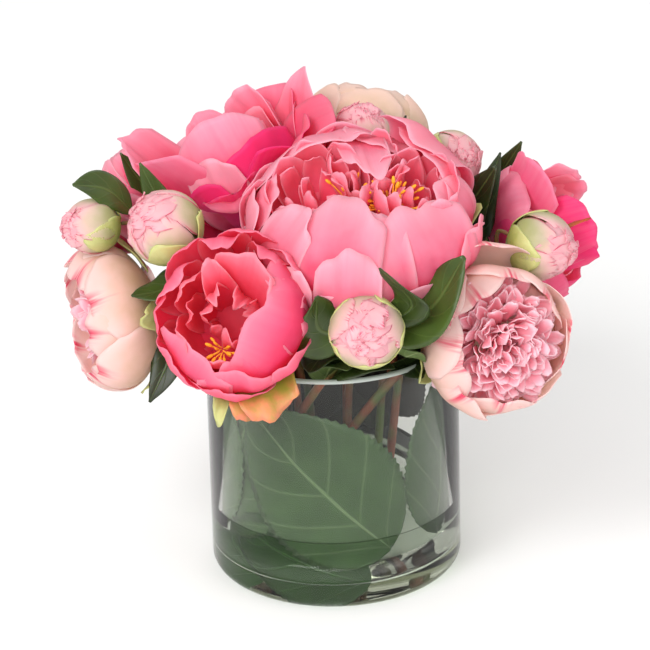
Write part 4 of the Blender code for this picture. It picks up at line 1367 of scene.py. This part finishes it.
def wall_leaf(node, rng):
    """A leaf that lines the glass, unrolled from its CAD node and rolled back on."""
    points = node_points(node)
    radius = np.hypot(points[:, 0], points[:, 1]).max()
    bearing = np.arctan2(points[:, 1], points[:, 0])
    mean = math.atan2(np.sin(bearing).mean(), np.cos(bearing).mean())
    flat_x = (np.mod(bearing - mean + math.pi, TAU) - math.pi) * radius
    flat = np.stack((flat_x, points[:, 2]), axis=1)
    gaps = np.linalg.norm(flat[:, None] - flat[None], axis=2)
    first, last = np.unravel_index(gaps.argmax(), gaps.shape)
    low, high = sorted((flat[first], flat[last]), key=lambda end: end[1])
    midrib = high - low
    side = np.array((midrib[1], -midrib[0])) / np.linalg.norm(midrib)
    half = np.abs((flat - low) @ side).max()
    lining(node + "_blade", radius, mean, low, high, half, rng, (WALL_LEAF, WALL_LEAF), node)


# Leaves stuffed in behind the stems, their near-black colour painted shade: bearing of the middle, foot,
# tip, lean and width in mm.
BACK_LEAVES = (
    (74, 40, 150, 8, 84),
    (100, 32, 148, -10, 96),
    (130, 24, 150, 8, 84),
    (54, 56, 151, -4, 90),
    (42, 70, 151, 14, 60),
    (118, 40, 151, 0, 110),
)
# One behind the broad leaf in front and one at the left, and two that lie low in the water.
FRONT_LEAVES = ((-146, 34, 134, 20, 92), (172, 24, 146, -6, 56))
WET_LEAVES = ((-112, 15, 45, -46, 54), (-160, 15, 48, -40, 54))


def leaves():
    rng = random.Random(2)
    for node, stem in LEAF_STEMS.items():
        leaf(node, stem, rng)
    for node in ("front_wall_leaf", "left_wall_leaf", "right_wall_leaf"):
        wall_leaf(node, rng)
    filler_leaves(rng)
    wall = np.hypot(*node_points("front_wall_leaf")[:, :2].T).max()
    stuffed = (
        # The leaves at the back are darkened with painted shade.
        ("back", BACK_LEAVES, PAINTED_SHADE_LEAF, 1.6),
        ("side", FRONT_LEAVES, WALL_LEAF, 1.4),
        ("wet", WET_LEAVES, WET_LEAF, 1.4),
    )
    for label, places, face, inset in stuffed:
        for i, (bearing, foot, tip, lean, width) in enumerate(places):
            low, high = np.array(((-lean, foot), (lean, tip))) * MM
            radius = wall - (inset + 1.4 * i) * MM
            name, half = f"{label}_lining_leaf_{i}", width * MM / 2
            lining(name, radius, math.radians(bearing), low, high, half, rng, (face, face))


def stems():
    """Every stem as one smooth skin: the CAD rods and their branches, rounded where they join."""
    for node in sorted(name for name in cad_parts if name.endswith("_stem")):
        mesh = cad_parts[node].data.copy()
        bm = bmesh.new()
        bm.from_mesh(mesh)
        bmesh.ops.remove_doubles(bm, verts=bm.verts, dist=0.01 * MM)
        bm.to_mesh(mesh)
        bm.free()
        made = add_object(node + "_bark", mesh)
        skin = made.modifiers.new("skin", "REMESH")
        skin.mode = "VOXEL"
        skin.voxel_size = STEM_VOXEL
        rounding = made.modifiers.new("rounding", "SMOOTH")
        rounding.iterations = 6
        made = baked(made)
        made.data.shade_smooth()
        made.data.materials.clear()
        made.data.materials.append(BARK)
        finish_piece(made, "stem", node)


# ---------------------------------------------------------------------------------------------
# Vase and water
# ---------------------------------------------------------------------------------------------


def lathe(name, outline, material):
    """An outline of (radius, height) pairs, axis to axis, spun about the vase's axis."""
    bm = bmesh.new()
    chain = [bm.verts.new((radius, 0, height)) for radius, height in outline]
    edges = [bm.edges.new(ends) for ends in zip(chain, chain[1:])]
    ring = {"geom": chain + edges, "axis": (0, 0, 1), "angle": TAU, "steps": VASE_SIDES}
    bmesh.ops.spin(bm, cent=(0, 0, 0), **ring)
    bmesh.ops.remove_doubles(bm, verts=bm.verts, dist=0.001 * MM)
    bmesh.ops.recalc_face_normals(bm, faces=bm.faces)
    mesh = bpy.data.meshes.new(name)
    bm.to_mesh(mesh)
    bm.free()
    mesh.shade_smooth()
    mesh.materials.append(material)
    return add_object(name, mesh)


def arc(centre, radius, start, turn):
    """Points on an arc, as (radius, height) pairs. Angles are in degrees."""
    angles = np.radians(start + turn * np.linspace(0, 1, ARC_STEPS + 1))
    return list(zip(centre[0] + radius * np.cos(angles), centre[1] + radius * np.sin(angles)))


def vase():
    """The glass: a thick rounded foot, a straight wall and a fire-polished lip, and its water."""
    points = node_points("vase")
    out = np.hypot(points[:, 0], points[:, 1])
    radius, height = out.max(), points[:, 2].max()
    inside = out[points[:, 2] > height / 2].min()
    water_points = node_points("water")
    floor, level = water_points[:, 2].min(), water_points[:, 2].max()
    lip = (radius - inside) / 2
    # The foot stands on a flat ring, and its middle is hollowed a little.
    foot, well, hollow = 8 * MM, 5 * MM, 0.6 * MM
    outline = [(0, hollow), (radius - 2.2 * foot, hollow), (radius - 2 * foot, 0)]
    outline += arc((radius - foot, foot), foot, -90, 90)
    outline += arc((radius - lip, height - lip), lip, 0, 180)
    outline += arc((inside - well, floor + well), well, 0, -90)
    outline += [(0, floor)]
    glass = lathe("vase_glass", outline, GLASS)
    glass.data.materials.append(LIP)
    # The band round the top of the lip takes the pale finish, a painted highlight.
    for face in glass.data.polygons:
        high = face.center.z > height - 1.3 * lip
        if high and math.hypot(*face.center[:2]) > radius - 1.2 * lip:
            face.material_index = 1
    finish_piece(glass, "glass", "vase")

    # The water bites a little into the glass, so that no air shows between, and climbs its wall.
    bite, climb = 0.15 * MM, 1.6 * MM
    rim = inside + bite
    pool = [(0, floor - bite), (inside - well, floor - bite)]
    pool += arc((inside - well, floor + well), well + bite, -90, 90)
    pool += [(rim, level + climb)]
    pool += [(rim - climb * s, level + climb * (1 - s) ** 3) for s in (0.3, 0.7, 1.2)]
    pool += [(rim - 2.5 * climb, level), (0, level)]
    water = lathe("pool_of_water", pool, WATER)
    finish_piece(water, "water", "water")


def main():
    blooms()
    buds()
    leaves()
    stems()
    vase()


# ---------------------------------------------------------------------------------------------
# Camera, floor and light
# ---------------------------------------------------------------------------------------------

VIEW_HEIGHT = math.radians(24.5)
VIEW_DISTANCE = 2.6
VIEW_ROLL = math.radians(-1.5)
LENS, SENSOR = 234.5, 36
AIM = Vector((-3.7, 58.0, 127.2)) * MM


def camera():
    """A long lens that looks down at the arrangement from the front."""
    back = Vector((0, -math.cos(VIEW_HEIGHT), math.sin(VIEW_HEIGHT)))
    right = Vector((1, 0, 0))
    upright = Matrix((right, back.cross(right), back)).transposed().to_4x4()
    data = bpy.data.cameras.new("camera")
    data.lens = LENS
    data.sensor_width = SENSOR
    made = add_object("camera", data)
    made.matrix_world = (
        Matrix.Translation(AIM + back * VIEW_DISTANCE)
        @ upright
        @ Matrix.Rotation(VIEW_ROLL, 4, "Z")
    )
    bpy.context.scene.camera = made


# Round lamps that all point at the arrangement: name, place, width and power.
LAMPS = (
    ("key", (-0.9, -1.2, 1.5), 0.9, 22),
    ("front", (-0.3, -2.2, 1.2), 1.2, 22),
    ("fill", (1.4, -1.0, 0.6), 1.2, 7),
    ("back", (0.2, 1.3, 1.4), 1.0, 6),
)
LIT_POINT = Vector((0, 0, 0.15))
SKY_STRENGTH = 0.66
FLOOR_DROP = 0.5 * MM


def lamps():
    for name, place, size, watts in LAMPS:
        data = bpy.data.lights.new(name, "AREA")
        data.shape = "DISK"
        data.size = size
        data.energy = watts
        made = add_object(name, data)
        made.location = place
        made.rotation_mode = "QUATERNION"
        made.rotation_quaternion = (LIT_POINT - Vector(place)).to_track_quat("-Z", "Y")


def studio():
    """A pale floor under soft light from all round, a little stronger from the upper left."""
    made, tree, output = new_material("floor_paper")
    matt = {"Base Color": colour("#F7F7F6"), "Roughness": 0.9, "Specular IOR Level": 0.1}
    tree.links.new(add_node(tree, "ShaderNodeBsdfPrincipled", matt), output.inputs[0])
    bm = bmesh.new()
    bmesh.ops.create_circle(bm, cap_ends=True, segments=64, radius=6)
    mesh = bpy.data.meshes.new("floor")
    bm.to_mesh(mesh)
    bm.free()
    mesh.materials.append(made)
    floor = add_object("floor", mesh)
    floor.location.z = -FLOOR_DROP

    world = bpy.data.worlds.new("studio")
    world.use_nodes = True
    back = world.node_tree.nodes["Background"]
    back.inputs["Color"].default_value = colour("#FFFFFF")
    back.inputs["Strength"].default_value = SKY_STRENGTH
    bpy.context.scene.world = world
    lamps()
    bpy.context.scene.view_settings.view_transform = "Standard"
    bpy.context.scene.view_settings.look = "None"
    bpy.context.scene.cycles.diffuse_bounces = 8


main()
camera()
studio()
